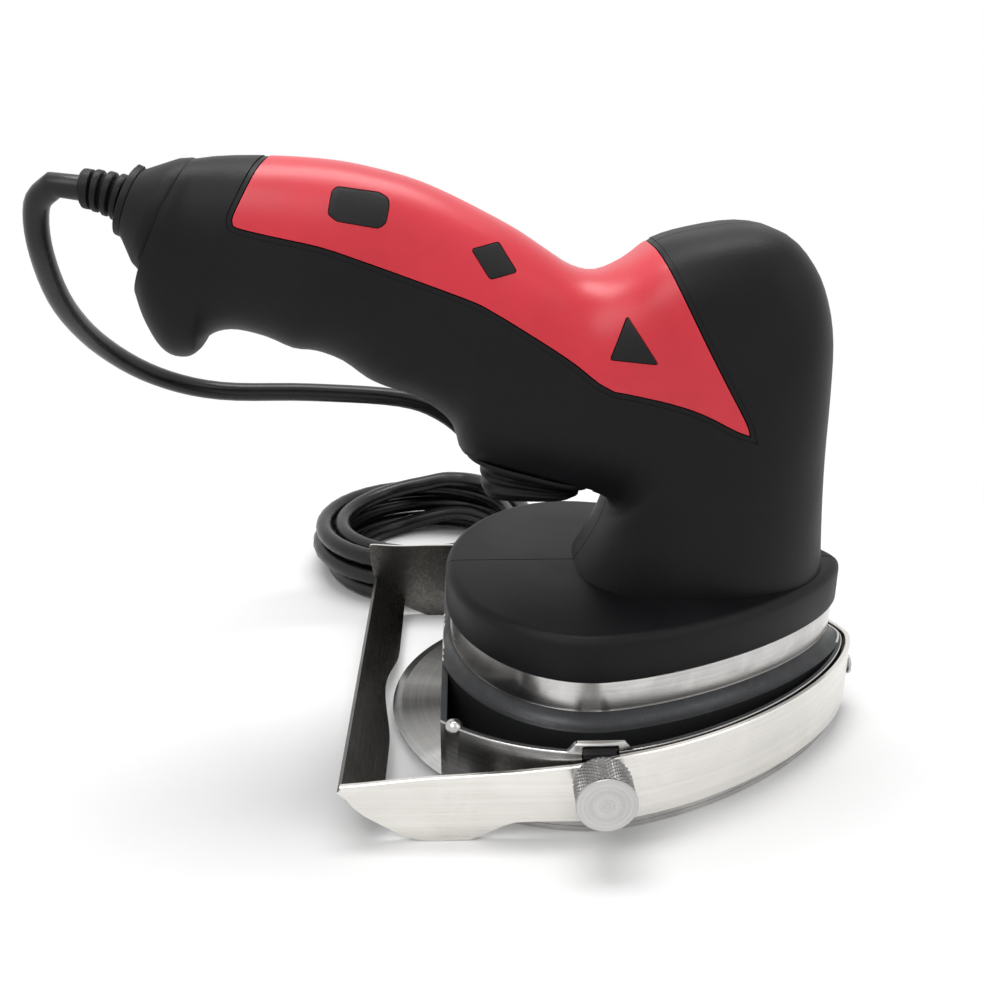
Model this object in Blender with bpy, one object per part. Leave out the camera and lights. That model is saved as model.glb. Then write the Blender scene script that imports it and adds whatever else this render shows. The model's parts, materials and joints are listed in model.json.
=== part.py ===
"""Electric kebab knife, modelled as an assembly of separate pieces.

Sizes below are in millimetres from the blade axis at the table: X runs from the handle to the nose, Y
across the blade and Z up. Every mesh is written in metres. The pieces hang on a parent empty that puts
the whole knife with its bounding box centred over the origin, and moving pieces hang on an empty that
stands on their joint's axis.
"""

import math

import bmesh
import bpy
from mathutils import Matrix, Vector

MM = 0.001
CLEAR = 0.3
HOLD = 0.05

# Blade and its spindle
BLADE_RADIUS = 50.0
BLADE_Z = 2.0
BLADE_THICK = 1.4
BLADE_GRIND = 2.5
SPINDLE_RADIUS = 4.0
SPINDLE_TOP = 32.5
HUB_RADIUS = 9.0
HUB_Z = BLADE_Z + BLADE_THICK + CLEAR
BLADE_SCREW_RADIUS = 7.0

# Gear head casting
EGG_POWER = 1.5
SKIRT = (53.5, 72.0, 53.5)
SKIRT_TOP = 21.0
SKIRT_WALL = 1.3
CHORD_X = -36.0
CHORD_WALL = 1.5
SLOT_TOP = 4.2
WEB_BOTTOM = 6.5
WEB_TOP = 9.0
GEAR_WALL = (34.0, 67.8, 43.0)
GEAR_WALL_TOP = 33.2
CHAMBER_INSET = 3.7
CHAMBER_FLOOR = 9.5
LEDGE_Z = 30.0
LEDGE_INSET = 2.2
BEAD_POST = (-32.8, 41.3)
BEAD_RADIUS = 2.2
BEAD_TOP = 22.8

# Gears
GEAR_MODULE = 1.0
GEAR_TEETH = 50
PINION_TEETH = 18
MOTOR_X = GEAR_MODULE * (GEAR_TEETH + PINION_TEETH) / 2
GEAR_Z = 15.6
GEAR_FACE = 7.0
BACKLASH = 0.25

# Bearings: inner radius, outer radius, height
SPINDLE_BEARING = (SPINDLE_RADIUS + CLEAR, 11.0, 7.0)
LOWER_BEARING_Z = 7.8
UPPER_BEARING_Z = 25.8
SHAFT_RADIUS = 2.5
SHAFT_BEARING = (SHAFT_RADIUS + CLEAR, 6.5, 4.5)

# Motor
CAN_RADIUS = 19.0
CAN_WALL = 1.2
CAN_Z = GEAR_WALL_TOP + 0.1
MAGNET_THICK = 3.5
AIR_GAP = 0.6
CORE_RADIUS = CAN_RADIUS - CAN_WALL - CLEAR - MAGNET_THICK - AIR_GAP
CORE_Z = 45.0
CORE_LENGTH = 32.0
COMMUTATOR_RADIUS = 6.0
COMMUTATOR_LENGTH = 7.0
COMMUTATOR_Z = CORE_Z + CORE_LENGTH + 2.0
BRUSH_HEIGHT = 4.0
BRUSH_Z = COMMUTATOR_Z + (COMMUTATOR_LENGTH - BRUSH_HEIGHT) / 2
BRUSH_END = CAN_RADIUS - 4.6
HOLDER_HALF = 3.2
CAN_TOP = COMMUTATOR_Z + COMMUTATOR_LENGTH + 2.0
SHAFT_TOP = CAN_TOP + 7.0

# Housing: inner edge x and z, outer edge x and z, half width, outer power, inner power
HOUSING = (
    (-105.6, 114.6, -90.4, 144.8, 14.5, 2.3, 2.3),
    (-104.4, 109.0, -89.0, 145.0, 15.0, 2.3, 2.3),
    (-102.0, 103.2, -87.4, 145.2, 15.2, 2.3, 2.3),
    (-99.2, 100.4, -85.6, 145.4, 15.4, 2.3, 2.4),
    (-95.6, 99.8, -83.4, 145.5, 15.6, 2.3, 2.4),
    (-93.0, 101.2, -81.2, 145.6, 15.8, 2.3, 2.4),
    (-91.0, 104.0, -79.0, 145.6, 16.0, 2.3, 2.4),
    (-87.4, 106.0, -76.4, 145.6, 16.2, 2.3, 2.4),
    (-82.5, 106.3, -72.5, 145.5, 16.5, 2.3, 2.4),
    (-76.0, 104.6, -66.5, 145.2, 17.0, 2.3, 2.4),
    (-70.0, 101.9, -60.5, 144.7, 17.4, 2.3, 2.4),
    (-64.5, 101.2, -54.9, 143.9, 17.6, 2.3, 2.4),
    (-58.5, 98.8, -48.5, 142.5, 17.8, 2.3, 2.4),
    (-53.0, 94.6, -42.5, 140.9, 17.9, 2.3, 2.4),
    (-48.5, 92.4, -37.0, 138.9, 18.0, 2.3, 2.4),
    (-42.5, 90.3, -31.0, 136.2, 18.1, 2.3, 2.4),
    (-36.4, 86.7, -25.0, 133.2, 18.2, 2.3, 2.4),
    (-32.6, 82.5, -20.0, 130.6, 18.4, 2.3, 2.4),
    (-30.0, 75.0, -15.5, 128.0, 18.6, 2.3, 2.4),
    (-22.0, 71.8, -9.5, 124.0, 19.2, 2.3, 2.4),
    (-13.0, 69.3, -4.0, 120.6, 19.8, 2.3, 2.4),
    (-4.0, 66.8, 2.0, 119.4, 20.6, 2.4, 2.4),
    (2.5, 65.0, 9.0, 122.0, 21.6, 2.7, 2.4),
    (5.6, 63.6, 16.0, 126.6, 22.6, 3.1, 2.5),
    (6.4, 62.4, 25.0, 129.0, 23.4, 3.5, 2.5),
    (6.5, 61.4, 36.0, 130.4, 24.0, 3.6, 2.6),
    (6.3, 60.4, 44.5, 128.6, 24.4, 3.6, 2.6),
    (6.0, 59.2, 51.0, 122.4, 24.6, 3.3, 2.6),
    (5.6, 58.0, 55.2, 114.6, 24.8, 3.0, 2.7),
    (5.0, 56.4, 58.0, 105.0, 25.0, 2.6, 2.7),
    (4.0, 54.0, 59.2, 92.0, 25.0, 2.4, 2.7),
    (2.2, 50.6, 60.1, 76.0, 25.0, 2.2, 2.8),
    (0.4, 47.5, 61.3, 60.0, 25.0, 2.1, 2.8),
    (-1.6, 44.4, 62.8, 46.0, 25.0, 2.0, 2.8),
    (-3.4, 40.0, 63.8, 38.0, 25.0, 2.0, 2.8),
)
HOUSING_WALL = 3.6
PARTING_GAP = CLEAR
FLANGE = (35.0, 68.8, 43.8)
FLANGE_BOTTOM = GEAR_WALL_TOP + CLEAR
FLANGE_TOP = 44.5
FLANGE_WALL = 2.5
HOUSING_SCREWS = ((-89.0, 124.0), (-42.0, 102.0), (47.0, 112.0))
HOUSING_SCREW_RADIUS = 1.4
HOUSING_SCREW_HEAD = 3.0
COUNTERBORE_Y = 7.0

# Panel in the top of the housing, its outline seen from the side
PANEL_THICK = 1.7
PANEL_OUTLINE = (
    (-71.0, 152.0), (-72.5, 146.4), (-74.5, 143.2), (-77.0, 138.3), (-79.2, 133.9), (-79.4, 132.4),
    (-78.4, 131.4), (-71.0, 129.7), (-60.7, 127.5), (-52.0, 124.6), (-43.7, 121.6), (-33.4, 117.8),
    (-26.3, 115.0), (-22.4, 112.8), (-15.3, 108.5), (-8.1, 104.0), (-3.7, 101.0), (0.8, 97.5),
    (4.4, 95.6), (9.6, 94.8), (17.0, 93.3), (24.2, 91.0), (31.8, 87.2), (35.0, 86.0), (33.9, 89.0),
    (28.9, 97.7), (23.8, 106.8), (19.0, 116.0), (15.0, 124.2), (12.3, 129.6), (9.0, 136.0), (9.0, 152.0),
)
INLAYS = {
    "bar": ((-56.8, 139.6), (-48.0, 138.3), (-46.0, 137.2), (-45.7, 135.8), (-46.4, 132.3), (-48.0, 131.3),
            (-57.0, 132.9), (-58.7, 134.3), (-57.9, 138.8)),
    "diamond": ((-27.6, 126.4), (-21.7, 127.5), (-17.7, 121.4), (-23.6, 120.2)),
    "wedge": ((6.9, 112.0), (13.5, 102.2), (3.3, 102.8)),
}
INLAY_DEPTH = 1.1
INLAY_THICK = 0.95
INLAY_PROUD = 0.15

# Trigger
SEAT_REAR = (-29.5, 76.4)
SEAT_FRONT = (2.2, 67.55)
SEAT_THICK = 3.0
TRIGGER_PIVOT = (-4.0, 74.5)
TRIGGER_EYE = 2.8
TRIGGER_HALF_WIDTH = 6.0
TRIGGER_PIN_RADIUS = 1.0
PLUNGER_X = -17.0
SPRING_X = -12.0
SWITCH_Z = 80.5
BOOT_WALL = 1.1

# Rear nose and cord
NOSE_BASE = (-97.3, 132.6)
NOSE_END = (-104.5, 135.0)
NOSE_TILT = 23.3
RELIEF_LENGTH = 12.2
RELIEF_DROOP = 16.0
CORD_RADIUS = 2.9
COIL_CENTRE = (-42.0, 98.0)
COIL_LEAN = -1.6
COIL_OUTER = 39.4
COIL_STEP = 6.4
COIL_LAYER = 6.3
COIL_LAYERS = 3
LAYER_TURNS = 2.0
COIL_LIFT = 4.0
LIFT_TURNS = 0.25
COIL_TURNS = 5.5
COIL_START = 90.0

# Guard, clamp knob and slide nut
GUARD_GAP = 0.9
GUARD_THICK = 1.3
GUARD_LEFT = -58.1
CLAMP_Z = 16.7
STUD_RADIUS = 2.0
KNOB_RADIUS = 6.5
KNOB_FACE = 66.0
NUT_REACH = 3.0
NUT_DEPTH = 3.4
PAD_DEPTH = 2.0
BUMP_RISE = 1.8
WINDOW = (4.2, 11.0, 21.7)
NOSE_SCREW_Z = 12.0
NOSE_SCREW_RADIUS = 1.6

# Frames: parent and position on the knife
FRAMES = {
    "knife_frame": (None, (0.0, 0.0, 0.0)),
    "blade_axis": ("knife_frame", (0.0, 0.0, 0.0)),
    "motor_axis": ("knife_frame", (MOTOR_X, 0.0, 0.0)),
    "guard_pivot": ("knife_frame", (SKIRT[1] + 1.0, 0.0, NOSE_SCREW_Z)),
    "knob_axis": ("guard_pivot", (0.0, -KNOB_FACE, CLAMP_Z)),
    "trigger_pivot": ("knife_frame", (TRIGGER_PIVOT[0], 0.0, TRIGGER_PIVOT[1])),
}

# Finishes: colour, roughness, metallic
FINISHES = {
    "black plastic": ((0.018, 0.018, 0.020), 0.42, 0.0),
    "red plastic": ((0.62, 0.035, 0.055), 0.34, 0.0),
    "grey plastic": ((0.30, 0.30, 0.31), 0.45, 0.0),
    "polished aluminium": ((0.80, 0.80, 0.80), 0.22, 1.0),
    "brushed steel": ((0.62, 0.61, 0.59), 0.30, 1.0),
    "bright steel": ((0.72, 0.72, 0.72), 0.18, 1.0),
    "black steel": ((0.03, 0.03, 0.03), 0.35, 1.0),
    "copper": ((0.75, 0.36, 0.20), 0.35, 1.0),
    "carbon": ((0.03, 0.03, 0.03), 0.70, 0.0),
    "ferrite": ((0.06, 0.06, 0.065), 0.65, 0.0),
    "green board": ((0.03, 0.18, 0.08), 0.50, 0.0),
    "black rubber": ((0.022, 0.022, 0.022), 0.60, 0.0),
}


def clear_scene():
    """Removes every object, mesh, curve and material of the scene."""
    for store in (bpy.data.objects, bpy.data.meshes, bpy.data.curves, bpy.data.materials):
        for item in list(store):
            store.remove(item)


def frame_position(name):
    """Where a frame stands on the knife."""
    return FRAMES[name][1]


def make_frames():
    """Makes the parent empties, each under its own parent."""
    for name, (parent, position) in FRAMES.items():
        empty = bpy.data.objects.new(name, None)
        empty.empty_display_size = 0.01
        bpy.context.collection.objects.link(empty)
        start = (0.0, 0.0, 0.0)
        if parent:
            empty.parent = bpy.data.objects[parent]
            start = frame_position(parent)
        empty.location = [(a - b) * MM for a, b in zip(position, start)]


def work_object(bm):
    """Turns a bmesh in millimetres into a scene object in metres."""
    bmesh.ops.scale(bm, vec=(MM, MM, MM), verts=bm.verts)
    bmesh.ops.recalc_face_normals(bm, faces=bm.faces)
    mesh = bpy.data.meshes.new("work")
    bm.to_mesh(mesh)
    bm.free()
    obj = bpy.data.objects.new("work", mesh)
    bpy.context.collection.objects.link(obj)
    return obj


def loft(rings):
    """A closed body through rings of equally many points, with a flat cap on each end."""
    bm = bmesh.new()
    loops = [[bm.verts.new(point) for point in ring] for ring in rings]
    count = len(loops[0])
    for first, second in zip(loops, loops[1:]):
        for k in range(count):
            after = (k + 1) % count
            bm.faces.new((first[k], first[after], second[after], second[k]))
    bm.faces.new(loops[0])
    bm.faces.new(loops[-1])
    return work_object(bm)


def prism(outline, low, high, axis="Z"):
    """An outline extruded along an axis: along Z it is (x, y), along Y (x, z) and along X (y, z)."""
    place = {
        "Z": lambda a, b: (a, b, low),
        "Y": lambda a, b: (a, low, b),
        "X": lambda a, b: (low, a, b),
    }[axis]
    shift = {"Z": (0, 0, high - low), "Y": (0, high - low, 0), "X": (high - low, 0, 0)}[axis]
    bm = bmesh.new()
    face = bm.faces.new([bm.verts.new(place(a, b)) for a, b in outline])
    grown = bmesh.ops.extrude_face_region(bm, geom=[face], use_keep_orig=True)
    moved = [item for item in grown["geom"] if isinstance(item, bmesh.types.BMVert)]
    bmesh.ops.translate(bm, vec=shift, verts=moved)
    return work_object(bm)


def box(low, high):
    """A box between two corners."""
    return prism(
        ((low[0], low[1]), (high[0], low[1]), (high[0], high[1]), (low[0], high[1])), low[2], high[2]
    )


def turned(profile, segments=24, origin=(0.0, 0.0, 0.0), direction=(0.0, 0.0, 1.0)):
    """A profile of (radius, height) pairs spun a full turn about a line."""
    bm = bmesh.new()
    verts = [bm.verts.new((radius, 0.0, height)) for radius, height in profile]
    edges = [bm.edges.new(pair) for pair in zip(verts, verts[1:])]
    if profile[0][0] > 0 and profile[-1][0] > 0:
        edges.append(bm.edges.new((verts[-1], verts[0])))
    bmesh.ops.spin(
        bm, geom=verts + edges, cent=(0, 0, 0), axis=(0, 0, 1), angle=2 * math.pi,
        steps=segments, use_merge=True,
    )
    bmesh.ops.remove_doubles(bm, verts=bm.verts, dist=1e-4)
    turn = Vector(direction).to_track_quat("Z", "Y").to_matrix().to_4x4()
    bmesh.ops.transform(bm, matrix=Matrix.Translation(origin) @ turn, verts=bm.verts)
    return work_object(bm)


def rod(radius, low, high, x=0.0, y=0.0, segments=16):
    """An upright cylinder."""
    return turned(((0.0, low), (radius, low), (radius, high), (0.0, high)), segments, (x, y, 0.0))


def pipe(inner, outer, low, high, x=0.0, y=0.0, segments=12):
    """An upright ring."""
    profile = ((inner, low), (outer, low), (outer, high), (inner, high))
    return turned(profile, segments, (x, y, 0.0))


def cross_rod(radius, low, high, x, z, segments=16):
    """A cylinder along Y."""
    return turned(
        ((0.0, low), (radius, low), (radius, high), (0.0, high)), segments, (x, 0.0, z), (0.0, 1.0, 0.0)
    )


def combine(target, operation, *others):
    """Applies an exact Boolean of each other object to the target and deletes the others."""
    for other in others:
        modifier = target.modifiers.new("shape", "BOOLEAN")
        modifier.operation = operation
        modifier.solver = "EXACT"
        modifier.object = other
    bpy.context.view_layer.update()
    graph = bpy.context.evaluated_depsgraph_get()
    mesh = bpy.data.meshes.new_from_object(target.evaluated_get(graph))
    target.modifiers.clear()
    before = target.data
    target.data = mesh
    bpy.data.meshes.remove(before)
    for other in others:
        data = other.data
        bpy.data.objects.remove(other)
        bpy.data.meshes.remove(data)
    return target


def copy_of(obj):
    """A second object with its own mesh."""
    other = obj.copy()
    other.data = obj.data.copy()
    bpy.context.collection.objects.link(other)
    return other


def keep_half(obj, y, side):
    """Cuts an object along an upright plane, keeps one side and closes the cut."""
    bm = bmesh.new()
    bm.from_mesh(obj.data)
    cut = bmesh.ops.bisect_plane(
        bm, geom=bm.verts[:] + bm.edges[:] + bm.faces[:], dist=1e-8, plane_co=(0.0, y * MM, 0.0),
        plane_no=(0.0, side, 0.0), clear_inner=True,
    )
    rim = [item for item in cut["geom_cut"] if isinstance(item, bmesh.types.BMEdge)]
    bmesh.ops.triangle_fill(bm, edges=rim, use_beauty=True, use_dissolve=False)
    bmesh.ops.recalc_face_normals(bm, faces=bm.faces)
    bm.to_mesh(obj.data)
    bm.free()


def tidy_flats(obj, degrees=1.0):
    """Joins neighbouring facets that lie in one plane, where the mesh stays closed."""
    bm = bmesh.new()
    bm.from_mesh(obj.data)
    bmesh.ops.remove_doubles(bm, verts=bm.verts, dist=2e-6)
    bmesh.ops.dissolve_limit(bm, angle_limit=math.radians(degrees), verts=bm.verts, edges=bm.edges)
    bmesh.ops.triangulate(bm, faces=bm.faces)
    if all(len(edge.link_faces) == 2 for edge in bm.edges):
        bm.to_mesh(obj.data)
    bm.free()


def give_finish(obj, finish):
    """Gives an object its own Principled material."""
    colour, roughness, metallic = FINISHES[finish]
    material = bpy.data.materials.new(obj.name + " " + finish)
    material.use_nodes = True
    shader = material.node_tree.nodes["Principled BSDF"]
    shader.inputs["Base Color"].default_value = (*colour, 1.0)
    shader.inputs["Roughness"].default_value = roughness
    shader.inputs["Metallic"].default_value = metallic
    material.diffuse_color = (*colour, 1.0)
    obj.data.materials.clear()
    obj.data.materials.append(material)


def finish_piece(obj, name, frame, finish, sharp=32.0):
    """Names a piece, hangs it on its frame and gives it its finish."""
    if obj.type == "MESH":
        tidy_flats(obj)
    obj.name = name
    obj.data.name = name
    obj.parent = bpy.data.objects[frame]
    obj.location = [-value * MM for value in frame_position(frame)]
    if obj.type == "MESH":
        obj.data.shade_smooth()
        obj.data.set_sharp_from_angle(angle=math.radians(sharp))
    give_finish(obj, finish)
    return obj


def egg(sizes, offset=0.0, count=36):
    """An egg outline: an ellipse half on the left and a pointed half on the right."""
    left, right, half = (size + offset for size in sizes)
    points = []
    for k in range(count):
        angle = 2 * math.pi * k / count
        c = math.cos(angle)
        s = math.sin(angle)
        bend = 2 / EGG_POWER if c > 1e-9 else 1.0
        reach = right if c > 1e-9 else left
        x = math.copysign(reach * abs(c) ** bend, c)
        y = math.copysign(half * abs(s) ** bend, s)
        points.append((x, y))
    return points


def clipped(outline, x_least):
    """A convex outline with everything left of a line cut off."""
    result = []
    for first, second in zip(outline, outline[1:] + outline[:1]):
        if first[0] >= x_least:
            result.append(first)
        if (first[0] - x_least) * (second[0] - x_least) < 0:
            share = (x_least - first[0]) / (second[0] - first[0])
            result.append((x_least, first[1] + share * (second[1] - first[1])))
    return result


def egg_stack(sizes, levels, count=36):
    """A body of egg outlines at (height, offset) levels."""
    return loft([[(x, y, z) for x, y in egg(sizes, offset, count)] for z, offset in levels])


def section(inner, outer, half, outer_power, inner_power, count):
    """A superellipse ring in the plane through two points of the side view."""
    centre = ((inner[0] + outer[0]) / 2, (inner[1] + outer[1]) / 2)
    reach = ((outer[0] - inner[0]) / 2, (outer[1] - inner[1]) / 2)
    ring = []
    for k in range(count):
        angle = 2 * math.pi * k / count
        c = math.cos(angle)
        s = math.sin(angle)
        power = outer_power if c > 0 else inner_power
        along = math.copysign(abs(c) ** (2 / power), c)
        across = math.copysign(abs(s) ** (2 / power), s)
        ring.append((centre[0] + along * reach[0], half * across, centre[1] + along * reach[1]))
    return ring


def housing_ring(station, inset, count):
    """One housing section, drawn in by the inset on every side."""
    ix, iz, ox, oz, half, outer_power, inner_power = station
    length = math.hypot(ox - ix, oz - iz)
    ux = (ox - ix) / length * inset
    uz = (oz - iz) / length * inset
    inner = (ix + ux, iz + uz)
    outer = (ox - ux, oz - uz)
    return section(inner, outer, half - inset, outer_power, inner_power, count)


def housing_body(inset=0.0, first=0, count=20, step=1):
    """The handle and tower as one solid, drawn in by the inset."""
    stations = HOUSING[first::step]
    if stations[-1] != HOUSING[-1]:
        stations = stations + HOUSING[-1:]
    return loft([housing_ring(station, inset, count) for station in stations])


def grown(outline, amount):
    """An outline moved outwards by an amount, corner by corner."""
    area = sum(a[0] * b[1] - b[0] * a[1] for a, b in zip(outline, outline[1:] + outline[:1]))
    side = 1.0 if area > 0 else -1.0
    result = []
    for k, point in enumerate(outline):
        before = Vector(outline[k - 1])
        here = Vector(point)
        after = Vector(outline[(k + 1) % len(outline)])
        first = (here - before).normalized()
        second = (after - here).normalized()
        normal_one = Vector((first.y, -first.x)) * side
        normal_two = Vector((second.y, -second.x)) * side
        middle = (normal_one + normal_two).normalized()
        reach = amount / max(0.45, middle.dot(normal_one))
        result.append(tuple(here + middle * reach))
    return result


def nose_frame():
    """Origin and outward direction of the rear nose."""
    tilt = math.radians(NOSE_TILT)
    return Vector((NOSE_END[0], 0.0, NOSE_END[1])), Vector((-math.cos(tilt), 0.0, math.sin(tilt)))


def along_nose(profile, segments=16):
    """A turned body on the nose axis, heights measured outwards from its end face."""
    origin, direction = nose_frame()
    return turned(profile, segments, origin, direction)


def drooped(point):
    """A point of the strain relief, with the ribbed length bent down by its droop."""
    origin, direction = nose_frame()
    up = Vector((-direction.z, 0.0, direction.x)) * -1.0
    from_end = point - origin
    along = from_end.dot(direction)
    bent = along - 2.1
    if bent <= 0:
        return point.copy()
    across = from_end.dot(up)
    turn = math.radians(RELIEF_DROOP) / (RELIEF_LENGTH - 2.1)
    angle = turn * bent
    length = math.sin(angle) / turn
    fall = (1 - math.cos(angle)) / turn
    return (
        origin + direction * (2.1 + length + across * math.sin(angle))
        + up * (across * math.cos(angle) - fall) + Vector((0.0, point.y, 0.0))
    )


def nose_body():
    """The tapered nose at the back of the handle."""
    rings = (
        ((-94.4, 131.0), 29.0, 13.0, 13.0),
        (NOSE_BASE, 29.0, 14.2, 14.2),
        ((-99.2, 133.2), 28.0, 13.4, 13.6),
        (NOSE_END, NOSE_TILT, 8.35, 9.5),
    )
    loops = []
    for (x, z), tilt, half_height, half_width in rings:
        up = (math.sin(math.radians(tilt)) * half_height, math.cos(math.radians(tilt)) * half_height)
        loops.append(section((x - up[0], z - up[1]), (x + up[0], z + up[1]), half_width, 2.2, 2.2, 20))
    return loft(loops)


def seat_line(x, lift=0.0):
    """Height of the slanted trigger seat at a place along the handle."""
    slope = (SEAT_FRONT[1] - SEAT_REAR[1]) / (SEAT_FRONT[0] - SEAT_REAR[0])
    return SEAT_REAR[1] + slope * (x - SEAT_REAR[0]) + lift


def inside_housing(obj, inset=1.0):
    """Keeps what lies inside the housing's outer wall."""
    return combine(obj, "INTERSECT", housing_body(inset, count=16))


def build_housing():
    """Both clamshell halves, split along the middle."""
    outer = housing_body()
    flange_levels = (
        (FLANGE_BOTTOM, -0.6), (FLANGE_BOTTOM + 0.6, 0.0), (FLANGE_TOP - 2.4, 0.0),
        (FLANGE_TOP - 0.8, -0.8), (FLANGE_TOP, -2.4),
    )
    combine(outer, "UNION", egg_stack(FLANGE, flange_levels), nose_body())
    cavity_top = FLANGE_TOP - FLANGE_WALL
    flange_hollow = egg_stack(FLANGE, ((FLANGE_BOTTOM - 3.0, -FLANGE_WALL), (cavity_top, -FLANGE_WALL)), 24)
    combine(outer, "DIFFERENCE", flange_hollow, housing_body(HOUSING_WALL, first=3, count=12, step=2))

    pad = prism(
        (
            (SEAT_REAR[0] + 1.0, seat_line(SEAT_REAR[0] + 1.0, -2.0)),
            (SEAT_FRONT[0] + 2.0, seat_line(SEAT_FRONT[0] + 2.0, -2.0)),
            (SEAT_FRONT[0] + 2.0, seat_line(SEAT_FRONT[0] + 2.0, SEAT_THICK)),
            (SEAT_REAR[0] + 1.0, seat_line(SEAT_REAR[0] + 1.0, SEAT_THICK)),
        ), -22.0, 22.0, "Y",
    )
    pivot_block = box((-8.5, -7.2, 70.0), (0.6, 7.2, SWITCH_Z - CLEAR))
    pedestal = box((-26.0, -7.2, 75.0), (-21.4, 7.2, SWITCH_Z - CLEAR))
    cradle = box((14.0, -30.0, 84.0), (58.0, 30.0, 86.0))
    combine(cradle, "DIFFERENCE", rod(CAN_RADIUS + CLEAR, 80.0, 90.0, MOTOR_X, segments=36))
    shelves = box((12.0, -30.0, 101.2), (38.0, -9.5, 103.2))
    far_shelf = box((12.0, 9.5, 101.2), (38.0, 30.0, 103.2))
    bosses = [cross_rod(4.2, -30.0, 30.0, x, z, 12) for x, z in HOUSING_SCREWS]
    inner_pieces = [inside_housing(piece) for piece in (pad, cradle, shelves, far_shelf, *bosses)]
    combine(outer, "UNION", *inner_pieces, pivot_block, pedestal)

    window = box((-20.5, -4.6, 60.0), (-0.7, 4.6, SWITCH_Z - CLEAR - 1.4))
    below_seat = prism(
        (
            (SEAT_REAR[0] - 1.5, seat_line(SEAT_REAR[0] - 1.5)),
            (SEAT_REAR[0] - 1.5, 58.0),
            (SEAT_FRONT[0], 58.0),
            (SEAT_FRONT[0], seat_line(SEAT_FRONT[0])),
        ), -30.0, 30.0, "Y",
    )
    pin_hole = cross_rod(TRIGGER_PIN_RADIUS + CLEAR, -9.0, 9.0, *TRIGGER_PIVOT, 12)
    cord_bore = along_nose(
        (
            (0.0, 2.0), (5.6, 2.0), (5.6, -4.0), (7.6, -4.0), (7.6, -8.5), (5.6, -8.5), (5.6, -17.0),
            (0.0, -17.0),
        )
    )
    drills = []
    for x, z in HOUSING_SCREWS:
        drills.append(cross_rod(HOUSING_SCREW_RADIUS + CLEAR, -11.0, COUNTERBORE_Y + 1.0, x, z, 10))
        drills.append(cross_rod(HOUSING_SCREW_HEAD + CLEAR, COUNTERBORE_Y, 40.0, x, z, 12))
    combine(outer, "DIFFERENCE", window, below_seat, pin_hole, cord_bore, *drills)

    recess = prism(grown(list(PANEL_OUTLINE), CLEAR), -40.0, 40.0, "Y")
    combine(recess, "DIFFERENCE", housing_body(PANEL_THICK + CLEAR, count=12))
    combine(outer, "DIFFERENCE", recess)

    half_gap = PARTING_GAP / 2
    far = copy_of(outer)
    keep_half(outer, -half_gap, -1.0)
    keep_half(far, half_gap, 1.0)
    finish_piece(outer, "near_housing_shell", "knife_frame", "black plastic", 26.0)
    finish_piece(far, "far_housing_shell", "knife_frame", "black plastic", 26.0)

    for number, (x, z) in enumerate(HOUSING_SCREWS, 1):
        seat = COUNTERBORE_Y + CLEAR
        screw = turned(
            (
                (0.0, -10.0), (HOUSING_SCREW_RADIUS, -9.2), (HOUSING_SCREW_RADIUS, seat),
                (HOUSING_SCREW_HEAD, seat), (HOUSING_SCREW_HEAD, seat + 1.8), (2.4, seat + 2.4),
                (0.0, seat + 2.4),
            ), 10, (x, 0.0, z), (0.0, 1.0, 0.0),
        )
        combine(screw, "DIFFERENCE", cross_rod(1.4, seat + 1.2, seat + 4.0, x, z, 6))
        finish_piece(screw, f"housing_screw_{number}", "knife_frame", "bright steel")


def build_panel():
    """The panel let into the top of the housing, with its six inlays."""
    panel = housing_body()
    combine(panel, "INTERSECT", prism(list(PANEL_OUTLINE), -40.0, 40.0, "Y"))
    combine(panel, "DIFFERENCE", housing_body(PANEL_THICK, count=12))
    pockets = []
    for title, outline in INLAYS.items():
        for side, low, high in (("near", -40.0, -4.0), ("far", 4.0, 40.0)):
            pocket = prism(grown(list(outline), CLEAR), low, high, "Y")
            combine(pocket, "DIFFERENCE", housing_body(INLAY_DEPTH, count=12))
            pockets.append(pocket)
            inlay = prism(list(outline), low, high, "Y")
            combine(inlay, "INTERSECT", housing_body(-INLAY_PROUD))
            combine(inlay, "DIFFERENCE", housing_body(INLAY_THICK - INLAY_PROUD, count=12))
            finish_piece(inlay, f"{side}_{title}_inlay", "knife_frame", "black plastic", 26.0)
    combine(panel, "DIFFERENCE", *pockets)
    finish_piece(panel, "top_panel", "knife_frame", "red plastic", 26.0)


def plate_screw_places():
    """Where the bearing plate is screwed to the casting."""
    return ((-21.6, 21.6), (-21.6, -21.6), (58.0, 0.0))


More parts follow.
